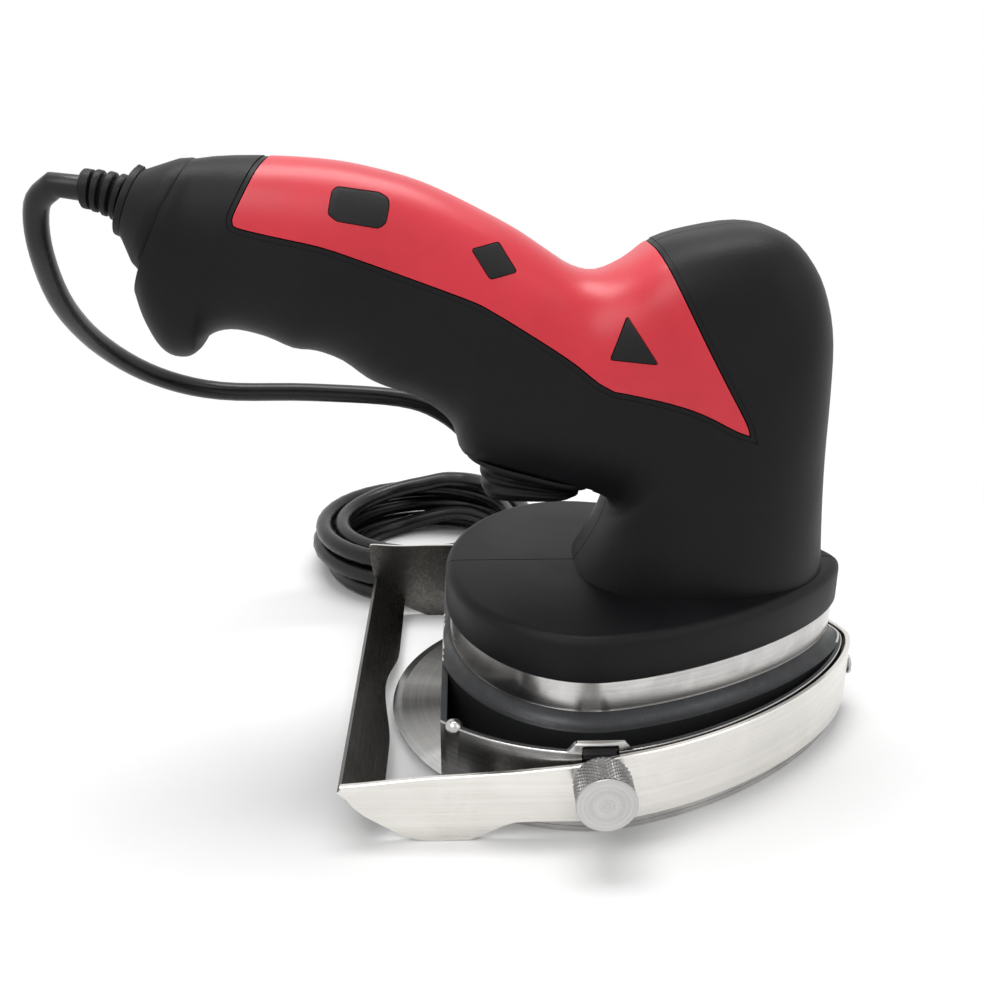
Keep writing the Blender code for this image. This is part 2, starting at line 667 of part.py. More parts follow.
def build_casting():
    """The gear head: skirt over the blade, trough, gear chamber, clamp window."""
    skirt_levels = (
        (0.0, -0.3), (0.4, 0.0), (2.3, 0.0), (2.5, -0.35), (2.9, -0.35), (3.1, 0.0),
        (SKIRT_TOP - 0.4, 0.0), (SKIRT_TOP, -0.3),
    )
    casting = egg_stack(SKIRT, skirt_levels)
    inner = clipped(egg(SKIRT, -SKIRT_WALL), CHORD_X + CHORD_WALL)
    combine(casting, "DIFFERENCE", prism(inner, WEB_TOP, 40.0))
    wall_levels = (
        (WEB_TOP - 1.0, 3.5), (22.0, 3.5), (22.8, 2.5), (24.0, 0.9), (26.0, 0.0),
        (GEAR_WALL_TOP, 0.0),
    )
    gear_wall = egg_stack(GEAR_WALL, wall_levels)
    posts = [rod(BEAD_RADIUS, SKIRT_TOP - 1.5, BEAD_TOP, BEAD_POST[0], side * BEAD_POST[1], 16) for side in (-1, 1)]
    arch = prism(
        [(side * x, z) for side, x, z in (
            (-1, 9.8, SKIRT_TOP - 0.3), (-1, 9.8, WEB_TOP - 1.0), (1, 9.8, WEB_TOP - 1.0),
            (1, 9.8, SKIRT_TOP - 0.3), (1, 7.0, SKIRT_TOP + BUMP_RISE - 0.3), (1, 6.2, SKIRT_TOP + BUMP_RISE),
            (-1, 6.2, SKIRT_TOP + BUMP_RISE), (-1, 7.0, SKIRT_TOP + BUMP_RISE - 0.3),
        )], -SKIRT[2] - 1.0, -SKIRT[2] + PAD_DEPTH, "Y",
    )
    combine(arch, "INTERSECT", prism(egg(SKIRT, -0.3), 0.0, 40.0))
    combine(casting, "UNION", gear_wall, arch, *posts)
    combine(casting, "DIFFERENCE", box((-70.0, -60.0, -5.0), (CHORD_X, 60.0, 50.0)))
    combine(casting, "DIFFERENCE", prism(egg(GEAR_WALL, -CHAMBER_INSET, 28), CHAMBER_FLOOR, 40.0))
    bearing_boss = rod(SPINDLE_BEARING[1] + 2.5, WEB_TOP - 1.0, 14.5, segments=20)
    lugs = [rod(3.4, WEB_TOP - 1.0, LEDGE_Z + 1.0, x, y, 16) for x, y in plate_screw_places()]
    combine(casting, "UNION", bearing_boss, *lugs)
    cuts = [
        prism(egg(GEAR_WALL, -LEDGE_INSET, 28), LEDGE_Z, 40.0),
        prism(inner, -5.0, WEB_BOTTOM),
        box((-40.0, -37.0, -5.0), (CHORD_X + CHORD_WALL + 0.5, 37.0, SLOT_TOP)),
        rod(SPINDLE_BEARING[1] + 0.15, LOWER_BEARING_Z - CLEAR, 20.0, segments=16),
        rod(8.0, 5.0, 9.0, segments=16),
        box((-WINDOW[0], -SKIRT[2] - 2.0, WINDOW[1]), (WINDOW[0], -SKIRT[2] + PAD_DEPTH + 1.0, WINDOW[2])),
        turned(
            ((0.0, 66.4), (NOSE_SCREW_RADIUS + CLEAR, 66.4), (NOSE_SCREW_RADIUS + CLEAR, 76.0), (0.0, 76.0)),
            12, (0.0, 0.0, NOSE_SCREW_Z), (1.0, 0.0, 0.0),
        ),
    ]
    cuts += [rod(1.8, 19.0, 40.0, x, y, 12) for x, y in plate_screw_places()]
    combine(casting, "DIFFERENCE", *cuts)
    finish_piece(casting, "gear_head_casting", "knife_frame", "polished aluminium", 30.0)


def build_bearing_plate():
    """The plate that closes the gear chamber and carries the upper bearing and the motor."""
    top = GEAR_WALL_TOP - 0.2
    plate = prism(egg(GEAR_WALL, -LEDGE_INSET - CLEAR, 28), LEDGE_Z + CLEAR, top)
    combine(plate, "UNION", rod(SPINDLE_BEARING[1] + 2.5, UPPER_BEARING_Z - 1.0, LEDGE_Z + 1.0, segments=20))
    cuts = [
        rod(SPINDLE_BEARING[1] + 0.15, UPPER_BEARING_Z - CLEAR, 40.0, segments=16),
        rod(8.0, 20.0, 27.0, segments=14),
        rod(7.0, 20.0, 40.0, MOTOR_X, segments=18),
    ]
    cuts += [rod(1.8, 20.0, 40.0, x, y, 12) for x, y in plate_screw_places()]
    combine(plate, "DIFFERENCE", *cuts)
    finish_piece(plate, "bearing_plate", "knife_frame", "polished aluminium")
    for number, (x, y) in enumerate(plate_screw_places(), 1):
        seat = top + CLEAR
        screw = turned(
            ((0.0, 20.0), (1.5, 20.8), (1.5, seat), (3.0, seat), (3.0, seat + 1.8), (2.4, seat + 2.3),
             (0.0, seat + 2.3)), 10, (x, y, 0.0),
        )
        combine(screw, "DIFFERENCE", rod(1.3, seat + 1.1, seat + 4.0, x, y, 6))
        finish_piece(screw, f"plate_screw_{number}", "knife_frame", "bright steel")


def gear_outline(teeth, phase, flank_points):
    """An involute gear outline with two or more points on each flank."""
    pitch = teeth * GEAR_MODULE / 2
    pressure = math.radians(20)
    base = pitch * math.cos(pressure)
    depth = 2.15 * GEAR_MODULE / (flank_points - 1)
    radii = [pitch - 1.2 * GEAR_MODULE + depth * k for k in range(flank_points)]
    half = math.pi / (2 * teeth) - BACKLASH / (2 * pitch)

    def roll(radius):
        angle = math.acos(min(1.0, base / max(radius, base)))
        return math.tan(angle) - angle

    flank = [(radius, half + roll(pitch) - roll(radius)) for radius in radii]
    points = []
    for tooth in range(teeth):
        middle = phase + 2 * math.pi * tooth / teeth
        for radius, offset in flank:
            points.append((radius * math.cos(middle - offset), radius * math.sin(middle - offset)))
        for radius, offset in reversed(flank):
            points.append((radius * math.cos(middle + offset), radius * math.sin(middle + offset)))
    return points


def build_drive():
    """Blade, spindle, both gears and the spindle's bearings."""
    edge = BLADE_RADIUS - BLADE_GRIND
    top = BLADE_Z + BLADE_THICK
    blade = turned(
        (
            (BLADE_SCREW_RADIUS - 4.1, BLADE_Z), (edge, BLADE_Z), (BLADE_RADIUS, BLADE_Z + 0.55),
            (BLADE_RADIUS, BLADE_Z + 0.8), (edge, top), (BLADE_SCREW_RADIUS - 4.1, top),
        ), 52,
    )
    finish_piece(blade, "blade", "blade_axis", "brushed steel", 20.0)

    spindle = turned(
        (
            (0.0, 9.4), (2.8, 9.4), (2.8, HUB_Z), (HUB_RADIUS, HUB_Z), (HUB_RADIUS, HUB_Z + 1.5),
            (6.2, HUB_Z + 2.3), (SPINDLE_RADIUS, HUB_Z + 2.3), (SPINDLE_RADIUS, SPINDLE_TOP - 0.6),
            (SPINDLE_RADIUS - 0.6, SPINDLE_TOP), (0.0, SPINDLE_TOP),
        ), 14,
    )
    finish_piece(spindle, "spindle", "blade_axis", "bright steel")

    screw_top = BLADE_Z - CLEAR
    blade_screw = turned(
        (
            (0.0, 0.6), (BLADE_SCREW_RADIUS - 0.5, 0.6), (BLADE_SCREW_RADIUS, 1.1),
            (BLADE_SCREW_RADIUS, screw_top), (2.5, screw_top), (2.5, 8.6), (0.0, 9.0),
        ), 14,
    )
    combine(blade_screw, "DIFFERENCE", box((-5.0, -0.6, -1.0), (5.0, 0.6, 1.2)))
    finish_piece(blade_screw, "blade_screw", "blade_axis", "bright steel")

    gear = prism(gear_outline(GEAR_TEETH, 0.0, 2), GEAR_Z, GEAR_Z + GEAR_FACE)
    combine(gear, "UNION", rod(7.0, GEAR_Z - 0.5, GEAR_Z + GEAR_FACE + 1.7, segments=16))
    combine(gear, "DIFFERENCE", rod(SPINDLE_RADIUS + CLEAR, 10.0, 30.0, segments=16))
    finish_piece(gear, "drive_gear", "blade_axis", "grey plastic", 20.0)

    pinion = prism(
        [(x + MOTOR_X, y) for x, y in gear_outline(PINION_TEETH, math.pi / PINION_TEETH, 2)],
        GEAR_Z - 0.4, GEAR_Z + GEAR_FACE + 0.8,
    )
    combine(pinion, "DIFFERENCE", rod(SHAFT_RADIUS + CLEAR, 10.0, 30.0, MOTOR_X, segments=16))
    finish_piece(pinion, "pinion", "motor_axis", "bright steel", 20.0)

    inner, outer, height = SPINDLE_BEARING
    for name, low in (("lower_spindle_bearing", LOWER_BEARING_Z), ("upper_spindle_bearing", UPPER_BEARING_Z)):
        ring = pipe(inner, outer, low, low + height, segments=16)
        finish_piece(ring, name, "knife_frame", "bright steel")


def arc_block(inner, outer, low, high, middle, spread, steps=8):
    """A block bent round the motor axis."""
    angles = [math.radians(middle - spread + 2 * spread * k / steps) for k in range(steps + 1)]
    outline = [(MOTOR_X + outer * math.cos(a), outer * math.sin(a)) for a in angles]
    outline += [(MOTOR_X + inner * math.cos(a), inner * math.sin(a)) for a in reversed(angles)]
    return prism(outline, low, high)


def build_motor():
    """Motor can, magnets, rotor, end bell, brushes and bearings."""
    inner = CAN_RADIUS - CAN_WALL
    bearing_inner, bearing_outer, bearing_height = SHAFT_BEARING
    floor = CAN_Z + 1.6
    pocket = bearing_outer + 0.2
    can = turned(
        (
            (4.2, CAN_Z), (CAN_RADIUS - 0.8, CAN_Z), (CAN_RADIUS, CAN_Z + 0.8), (CAN_RADIUS, CAN_TOP),
            (inner, CAN_TOP), (inner, floor), (pocket + 1.4, floor), (pocket + 1.4, floor + 5.2),
            (pocket, floor + 5.2), (pocket, floor), (4.2, floor),
        ), 20, (MOTOR_X, 0.0, 0.0),
    )
    finish_piece(can, "motor_can", "knife_frame", "bright steel")
    front = pipe(
        bearing_inner, bearing_outer, floor + CLEAR, floor + CLEAR + bearing_height, MOTOR_X
    )
    finish_piece(front, "front_motor_bearing", "knife_frame", "bright steel")
    for number, middle in ((1, 90.0), (2, -90.0)):
        magnet = arc_block(CORE_RADIUS + AIR_GAP, inner - CLEAR, CORE_Z - 1.0, CORE_Z + CORE_LENGTH + 1.0, middle, 58.0)
        finish_piece(magnet, f"magnet_{number}", "knife_frame", "ferrite")

    outline = []
    poles = 7
    for pole in range(poles):
        middle = 2 * math.pi * pole / poles
        reach = math.pi / poles - 0.09
        for share in (-1.0, -0.34, 0.34, 1.0):
            angle = middle + share * reach
            outline.append((MOTOR_X + CORE_RADIUS * math.cos(angle), CORE_RADIUS * math.sin(angle)))
        for side in (1.0, -1.0):
            angle = middle + (math.pi / poles if side > 0 else math.pi / poles) - side * 0.05
            radius = 7.4
            outline.append((MOTOR_X + radius * math.cos(angle), radius * math.sin(angle)))
    core = prism(outline, CORE_Z, CORE_Z + CORE_LENGTH)
    combine(core, "DIFFERENCE", rod(SHAFT_RADIUS + CLEAR, 40.0, 90.0, MOTOR_X, segments=16))
    finish_piece(core, "armature_core", "motor_axis", "black steel", 20.0)
    commutator = pipe(
        SHAFT_RADIUS + CLEAR, COMMUTATOR_RADIUS, COMMUTATOR_Z, COMMUTATOR_Z + COMMUTATOR_LENGTH, MOTOR_X,
        segments=16,
    )
    finish_piece(commutator, "commutator", "motor_axis", "copper", 20.0)
    shaft = turned(
        ((0.0, 13.0), (SHAFT_RADIUS - 0.4, 13.0), (SHAFT_RADIUS, 13.4), (SHAFT_RADIUS, SHAFT_TOP - 0.4),
         (SHAFT_RADIUS - 0.4, SHAFT_TOP), (0.0, SHAFT_TOP)), 20, (MOTOR_X, 0.0, 0.0),
    )
    finish_piece(shaft, "motor_shaft", "motor_axis", "bright steel")

    bell_z = CAN_TOP + CLEAR
    bell = turned(
        ((3.4, bell_z), (CAN_RADIUS, bell_z), (CAN_RADIUS, bell_z + 1.9), (8.2, bell_z + 2.3),
         (8.2, bell_z + 6.4), (6.3, bell_z + 6.4), (6.3, bell_z + 1.4), (3.4, bell_z + 1.4)),
        16, (MOTOR_X, 0.0, 0.0),
    )
    middle = BRUSH_END + 1.0 - HOLDER_HALF
    holders = [
        box((MOTOR_X + side * middle - HOLDER_HALF, -3.6, BRUSH_Z - 1.4),
            (MOTOR_X + side * middle + HOLDER_HALF, 3.6, bell_z + 0.6))
        for side in (-1, 1)
    ]
    combine(bell, "UNION", *holders)
    slots = [
        box((MOTOR_X + side * middle - HOLDER_HALF - 1.0, -2.3, BRUSH_Z - CLEAR),
            (MOTOR_X + side * middle + HOLDER_HALF + 1.0, 2.3, BRUSH_Z + BRUSH_HEIGHT + CLEAR))
        for side in (-1, 1)
    ]
    combine(bell, "DIFFERENCE", *slots)
    finish_piece(bell, "end_bell", "knife_frame", "grey plastic")
    rear = pipe(
        bearing_inner, bearing_outer - 0.5, bell_z + 1.7, bell_z + 5.9, MOTOR_X
    )
    finish_piece(rear, "rear_motor_bearing", "knife_frame", "bright steel")
    for number, side in ((1, 1), (2, -1)):
        near = MOTOR_X + side * (COMMUTATOR_RADIUS + CLEAR)
        far = MOTOR_X + side * BRUSH_END
        brush = box((min(near, far), -2.0, BRUSH_Z), (max(near, far), 2.0, BRUSH_Z + BRUSH_HEIGHT))
        finish_piece(brush, f"brush_{number}", "knife_frame", "carbon")


def build_electrics():
    """Switch, plunger, rectifier board and capacitor."""
    switch = box((-24.4, -5.0, SWITCH_Z), (-6.0, 5.0, SWITCH_Z + 10.0))
    combine(switch, "UNION", box((-22.6, -3.4, SWITCH_Z + 9.0), (-19.8, 3.4, SWITCH_Z + 13.0)),
            box((-10.6, -3.4, SWITCH_Z + 9.0), (-7.8, 3.4, SWITCH_Z + 13.0)))
    combine(switch, "DIFFERENCE", rod(1.6, SWITCH_Z - 1.0, SWITCH_Z + 6.6, PLUNGER_X, segments=16))
    finish_piece(switch, "trigger_switch", "knife_frame", "grey plastic")
    plunger = turned(
        ((0.0, 77.7), (1.0, 77.7), (1.3, 78.0), (1.3, 84.4), (0.0, 84.4)), 16, (PLUNGER_X, 0.0, 0.0)
    )
    finish_piece(plunger, "switch_plunger", "knife_frame", "red plastic")
    board = box((10.0, -11.0, 103.5), (40.0, 11.0, 105.1))
    finish_piece(board, "rectifier_board", "knife_frame", "green board")
    capacitor = turned(
        ((0.0, 105.4), (5.0, 105.4), (5.5, 105.9), (5.5, 115.6), (5.0, 116.1), (0.0, 116.1)),
        20, (19.0, 0.0, 0.0),
    )
    finish_piece(capacitor, "capacitor", "knife_frame", "black plastic")


def build_trigger():
    """Trigger lever, its pin and spring, and the rubber boot under them."""
    px, pz = TRIGGER_PIVOT
    lever = prism(
        (
            (px - 2.6, pz + 0.6), (px + 2.4, pz - 0.6), (-3.4, 66.8), (-5.0, 65.7), (-20.6, 64.8),
            (-22.4, 66.2), (-22.7, 69.0), (-21.6, 69.4), (-20.6, 67.4), (-7.6, 67.4),
        ), -TRIGGER_HALF_WIDTH + 2.4, TRIGGER_HALF_WIDTH - 2.4, "Y",
    )
    eye = cross_rod(TRIGGER_EYE, -TRIGGER_HALF_WIDTH + 2.4, TRIGGER_HALF_WIDTH - 2.4, px, pz, 20)
    pad = prism(
        ((-7.0, 65.9), (-20.2, 65.0), (-21.8, 66.2), (-22.0, 68.4), (-21.0, 67.2), (-7.0, 67.1)),
        -TRIGGER_HALF_WIDTH + 1.2, TRIGGER_HALF_WIDTH - 1.2, "Y",
    )
    post = box((PLUNGER_X - 1.8, -1.8, 66.0), (PLUNGER_X + 1.8, 1.8, 77.3))
    combine(lever, "UNION", eye, pad, post)
    combine(lever, "DIFFERENCE", cross_rod(TRIGGER_PIN_RADIUS + CLEAR, -9.0, 9.0, px, pz, 12))
    finish_piece(lever, "trigger_lever", "trigger_pivot", "grey plastic")
    pin = cross_rod(TRIGGER_PIN_RADIUS, -7.0, 7.0, px, pz, 12)
    finish_piece(pin, "trigger_pin", "trigger_pivot", "bright steel")

    turns = 4
    per_turn = 8
    low = 68.3
    high = SWITCH_Z - CLEAR - 0.4
    radius = 1.9
    wire = 0.35
    rings = []
    for k in range(turns * per_turn + 1):
        angle = 2 * math.pi * k / per_turn
        z = low + (high - low) * k / (turns * per_turn)
        out = Vector((math.cos(angle), math.sin(angle), 0.0))
        centre = Vector((SPRING_X, 0.0, z)) + out * radius
        ring = []
        for side in range(4):
            turn = 2 * math.pi * side / 4
            ring.append(centre + out * (wire * math.cos(turn)) + Vector((0, 0, wire * math.sin(turn))))
        rings.append(ring)
    finish_piece(loft(rings), "trigger_spring", "knife_frame", "bright steel")

    rows = (
        ((-24.4, 64.2), (-2.6, 63.4), 6.6),
        ((-24.0, 63.3), (-2.8, 62.8), 6.0),
        ((-24.9, 64.6), (-1.8, 63.7), 7.4),
        ((-25.6, 66.4), (-0.9, 64.3), 8.6),
        ((-24.8, 68.0), (-1.5, 64.9), 7.8),
        ((-25.9, 69.8), (-0.6, 65.3), 8.8),
        ((-25.2, 71.2), (-1.1, 65.8), 8.0),
        ((-26.3, 73.0), (-0.2, 66.2), 9.0),
        ((-26.2, 74.0), (-0.4, 66.7), 8.8),
    )
    outer = [section(left, right, half, 3.2, 3.2, 14) for left, right, half in rows[1:]]
    lip = [
        ((-29.0, 74.7), (1.3, 66.2), 11.0),
        ((-29.4, 75.1), (1.6, 66.6), 11.3),
        ((-29.3, 76.0), (1.6, 67.35), 11.2),
    ]
    outer += [section(left, right, half, 3.2, 3.2, 14) for left, right, half in lip]
    inner = []
    for left, right, half in reversed(rows[2:]):
        inner.append(
            section((left[0] + BOOT_WALL, left[1]), (right[0] - BOOT_WALL, right[1] + 0.1), half - BOOT_WALL,
                    3.2, 3.2, 14)
        )
    top_left, top_right, top_half = rows[-1]
    inner.insert(
        0,
        section((top_left[0] + BOOT_WALL, 74.8), (top_right[0] - BOOT_WALL, 67.9), top_half - BOOT_WALL,
                3.2, 3.2, 14),
    )
    inner[-1] = section((-23.9, 64.1), (-2.9, 63.8), 6.4, 3.2, 3.2, 14)
    finish_piece(loft(outer + inner), "trigger_boot", "knife_frame", "black rubber", 40.0)


def guard_path():
    """Places along the band from the near arm round the nose to the far arm, with their heights."""
    side = SKIRT[2] + GUARD_GAP
    near = (
        (GUARD_LEFT, 14.3, 15.1), (-57.1, 12.4, 15.3), (-55.6, 9.3, 15.4), (-53.1, 6.6, 15.7),
        (-50.2, 4.5, 16.0), (-47.6, 2.8, 16.3), (-44.7, 1.3, 16.6), (-40.8, 0.3, 17.0), (-39.0, 0.0, 17.1),
        (-30.3, 0.0, 17.9), (-27.4, 0.8, 18.2), (-24.2, 2.4, 18.5), (-20.6, 4.1, 18.8), (-17.0, 4.7, 19.1),
        (-6.0, 4.6, 19.9),
    )
    far = (
        (-60.1, 23.0, 24.0), (-59.9, 19.5, 24.9), (-58.9, 14.0, 25.1), (-57.1, 11.4, 25.0),
        (-53.1, 6.9, 24.7), (-49.6, 3.7, 24.6), (-47.0, 2.2, 24.6), (-42.8, 0.3, 24.7), (-41.0, 0.0, 24.7),
        (-30.3, 0.0, 24.7), (-27.4, 0.8, 24.6), (-24.2, 2.4, 24.4), (-20.6, 4.1, 24.1), (-17.0, 4.7, 23.8),
        (-6.0, 4.6, 22.6),
    )
    path = [((x, -side), (0.0, -1.0), low, high) for x, low, high in near]
    inner = egg(SKIRT, GUARD_GAP, 48)
    outer = egg(SKIRT, GUARD_GAP + GUARD_THICK, 48)
    for k in range(-12, 13):
        here = Vector(inner[k])
        there = Vector(outer[k])
        path.append((tuple(here), tuple((there - here) / GUARD_THICK), 4.4, 21.6 if k < 9 else 21.8))
    path += [((x, side), (0.0, 1.0), low, high) for x, low, high in reversed(far)]
    return path


def build_guard():
    """The slicing guard band with its cross plate, and the nose screw it hangs on."""
    rings = []
    for (x, y), normal, low, high in guard_path():
        ox = x + normal[0] * GUARD_THICK
        oy = y + normal[1] * GUARD_THICK
        rings.append(((x, y, low), (x, y, high), (ox, oy, high), (ox, oy, low)))
    band = loft(rings)

    reach = SKIRT[2] + GUARD_GAP + GUARD_THICK * 0.6
    top = Vector((-58.0, 0.0, 14.0))
    low_edge = Vector((-49.5, 0.0, 4.1))
    slope = (low_edge - top).normalized()
    across = Vector((-slope.z, 0.0, slope.x))
    strips = []
    steps = 24
    for k in range(steps + 1):
        y = -reach + 2 * reach * k / steps
        bite = 1.6 * (1 + math.cos(math.pi * y / 24.0)) if abs(y) < 24.0 else 0.0
        bottom = low_edge - slope * (bite * 1.15)
        strips.append(
            [tuple(Vector((0.0, y, 0.0)) + point) for point in (
                top, bottom, bottom - across * 1.2, top - across * 1.2)]
        )
    combine(band, "UNION", loft(strips))
    holes = [
        cross_rod(STUD_RADIUS + 0.4, -60.0, -50.0, 0.0, CLAMP_Z, 16),
        turned(((0.0, 70.0), (NOSE_SCREW_RADIUS + CLEAR, 70.0), (NOSE_SCREW_RADIUS + CLEAR, 78.0), (0.0, 78.0)),
               12, (0.0, 0.0, NOSE_SCREW_Z), (1.0, 0.0, 0.0)),
    ]
    combine(band, "DIFFERENCE", *holes)
    finish_piece(band, "guard_band", "guard_pivot", "brushed steel", 30.0)

    face = SKIRT[1] + GUARD_GAP + GUARD_THICK + CLEAR
    nose_screw = turned(
        ((0.0, 67.0), (NOSE_SCREW_RADIUS - 0.3, 67.0), (NOSE_SCREW_RADIUS, 67.4), (NOSE_SCREW_RADIUS, face),
         (2.7, face), (2.7, face + 0.5), (2.3, face + 0.9), (0.0, face + 0.9)),
        16, (0.0, 0.0, NOSE_SCREW_Z), (1.0, 0.0, 0.0),
    )
    combine(nose_screw, "DIFFERENCE", box((face + 0.4, -3.2, NOSE_SCREW_Z - 0.35), (face + 4.0, 3.2, NOSE_SCREW_Z + 0.35)))
    finish_piece(nose_screw, "nose_screw", "knife_frame", "bright steel")


def build_clamp():
    """The knurled clamp knob with its stud, and the slide nut in the skirt's window."""
    shoulder = SKIRT[2] + GUARD_GAP + GUARD_THICK + CLEAR
    knob = turned(
        (
            (0.0, -KNOB_FACE), (KNOB_RADIUS - 0.3, -KNOB_FACE),
            (KNOB_RADIUS, -KNOB_FACE + 0.3), (KNOB_RADIUS, -shoulder - 1.0), (KNOB_RADIUS - 0.6, -shoulder),
            (STUD_RADIUS, -shoulder), (STUD_RADIUS, -48.8), (STUD_RADIUS - 0.3, -48.5), (0.0, -48.5),
        ), 22, (0.0, 0.0, CLAMP_Z), (0.0, 1.0, 0.0),
    )
    bm = bmesh.new()
    bm.from_mesh(knob.data)
    for vert in bm.verts:
        radius = math.hypot(vert.co.x, vert.co.z - CLAMP_Z * MM)
        if radius > (KNOB_RADIUS - 0.1) * MM:
            step = round(math.atan2(vert.co.z - CLAMP_Z * MM, vert.co.x) * 11.0 / math.pi)
            if step % 2:
                vert.co.x *= 0.955
                vert.co.z = CLAMP_Z * MM + (vert.co.z - CLAMP_Z * MM) * 0.955
    bm.to_mesh(knob.data)
    bm.free()
    finish_piece(knob, "clamp_knob", "knob_axis", "bright steel", 20.0)

    front = -SKIRT[2] + 0.2
    half = WINDOW[0] - CLEAR
    nut = box((-half, front, CLAMP_Z - NUT_REACH), (half, front + NUT_DEPTH, CLAMP_Z + NUT_REACH - 0.3))
    flange = box(
        (-half - 1.6, front + PAD_DEPTH + CLEAR, CLAMP_Z - NUT_REACH),
        (half + 1.6, front + NUT_DEPTH, CLAMP_Z + NUT_REACH - 0.3),
    )
    combine(nut, "UNION", flange)
    combine(nut, "DIFFERENCE", cross_rod(STUD_RADIUS + CLEAR, -60.0, -40.0, 0.0, CLAMP_Z, 16))
    finish_piece(nut, "slide_nut", "guard_pivot", "black steel")


def smooth_route(points, per_span):
    """A Catmull-Rom line through hand-placed points."""
    line = [Vector(point) for point in points]
    line = [line[0] * 2 - line[1]] + line + [line[-1] * 2 - line[-2]]
    route = []
    for k in range(1, len(line) - 2):
        a, b, c, d = line[k - 1:k + 3]
        for step in range(per_span):
            t = step / per_span
            route.append(
                0.5 * ((2 * b) + (c - a) * t + (2 * a - 5 * b + 4 * c - d) * t * t
                       + (3 * b - a - 3 * c + d) * t * t * t)
            )
    route.append(line[-2])
    return route


def tube(name, route, finish, bevel):
    """A round tube through a route of points."""
    curve = bpy.data.curves.new(name, "CURVE")
    curve.dimensions = "3D"
    curve.bevel_depth = CORD_RADIUS * MM
    curve.bevel_resolution = bevel
    curve.use_fill_caps = True
    spline = curve.splines.new("POLY")
    spline.points.add(len(route) - 1)
    for point, place in zip(spline.points, route):
        point.co = (*(Vector(place) * MM), 1.0)
    obj = bpy.data.objects.new(name, curve)
    bpy.context.collection.objects.link(obj)
    spline.use_smooth = True
    return finish_piece(obj, name, "knife_frame", finish)


def coil_point(turn):
    """A place along the coil, counted in turns from its top inner end."""
    layer = min(int(turn / LAYER_TURNS), COIL_LAYERS - 1)
    within = turn - layer * LAYER_TURNS
    if layer % 2 == 0:
        radius = COIL_OUTER - COIL_STEP * (LAYER_TURNS - within)
    else:
        radius = COIL_OUTER - COIL_STEP * within
    drop = 0.0
    for change in range(1, COIL_LAYERS):
        share = (turn - change * LAYER_TURNS) * 360.0 / 80.0 + 0.5
        share = min(1.0, max(0.0, share))
        drop += share * share * (3 - 2 * share)
    above = COIL_LAYERS - 1 - drop
    lift = COIL_LIFT * max(0.0, 1.0 - turn / LIFT_TURNS) ** 2
    angle = math.radians(COIL_START) + 2 * math.pi * turn
    return Vector((
        COIL_CENTRE[0] + COIL_LEAN * above + radius * math.cos(angle),
        COIL_CENTRE[1] + radius * math.sin(angle),
        CORD_RADIUS + HOLD + COIL_LAYER * above + lift,
    ))


def least_gap(route):
    """The least gap between parts of a tube that lie more than two diameters apart along it."""
    lengths = [0.0]
    for first, second in zip(route, route[1:]):
        lengths.append(lengths[-1] + (second - first).length)
    least = 1e9
    for i, here in enumerate(route):
        for j in range(i + 1, len(route) - 1):
            if lengths[j] - lengths[i] < 8 * CORD_RADIUS:
                continue
            a = route[j]
            along = route[j + 1] - a
            share = min(1.0, max(0.0, (here - a).dot(along) / along.length_squared))
            least = min(least, (a + along * share - here).length)
    return least - 2 * CORD_RADIUS


def length_of(route):
    """Length of a route of points."""
    return sum((second - first).length for first, second in zip(route, route[1:]))


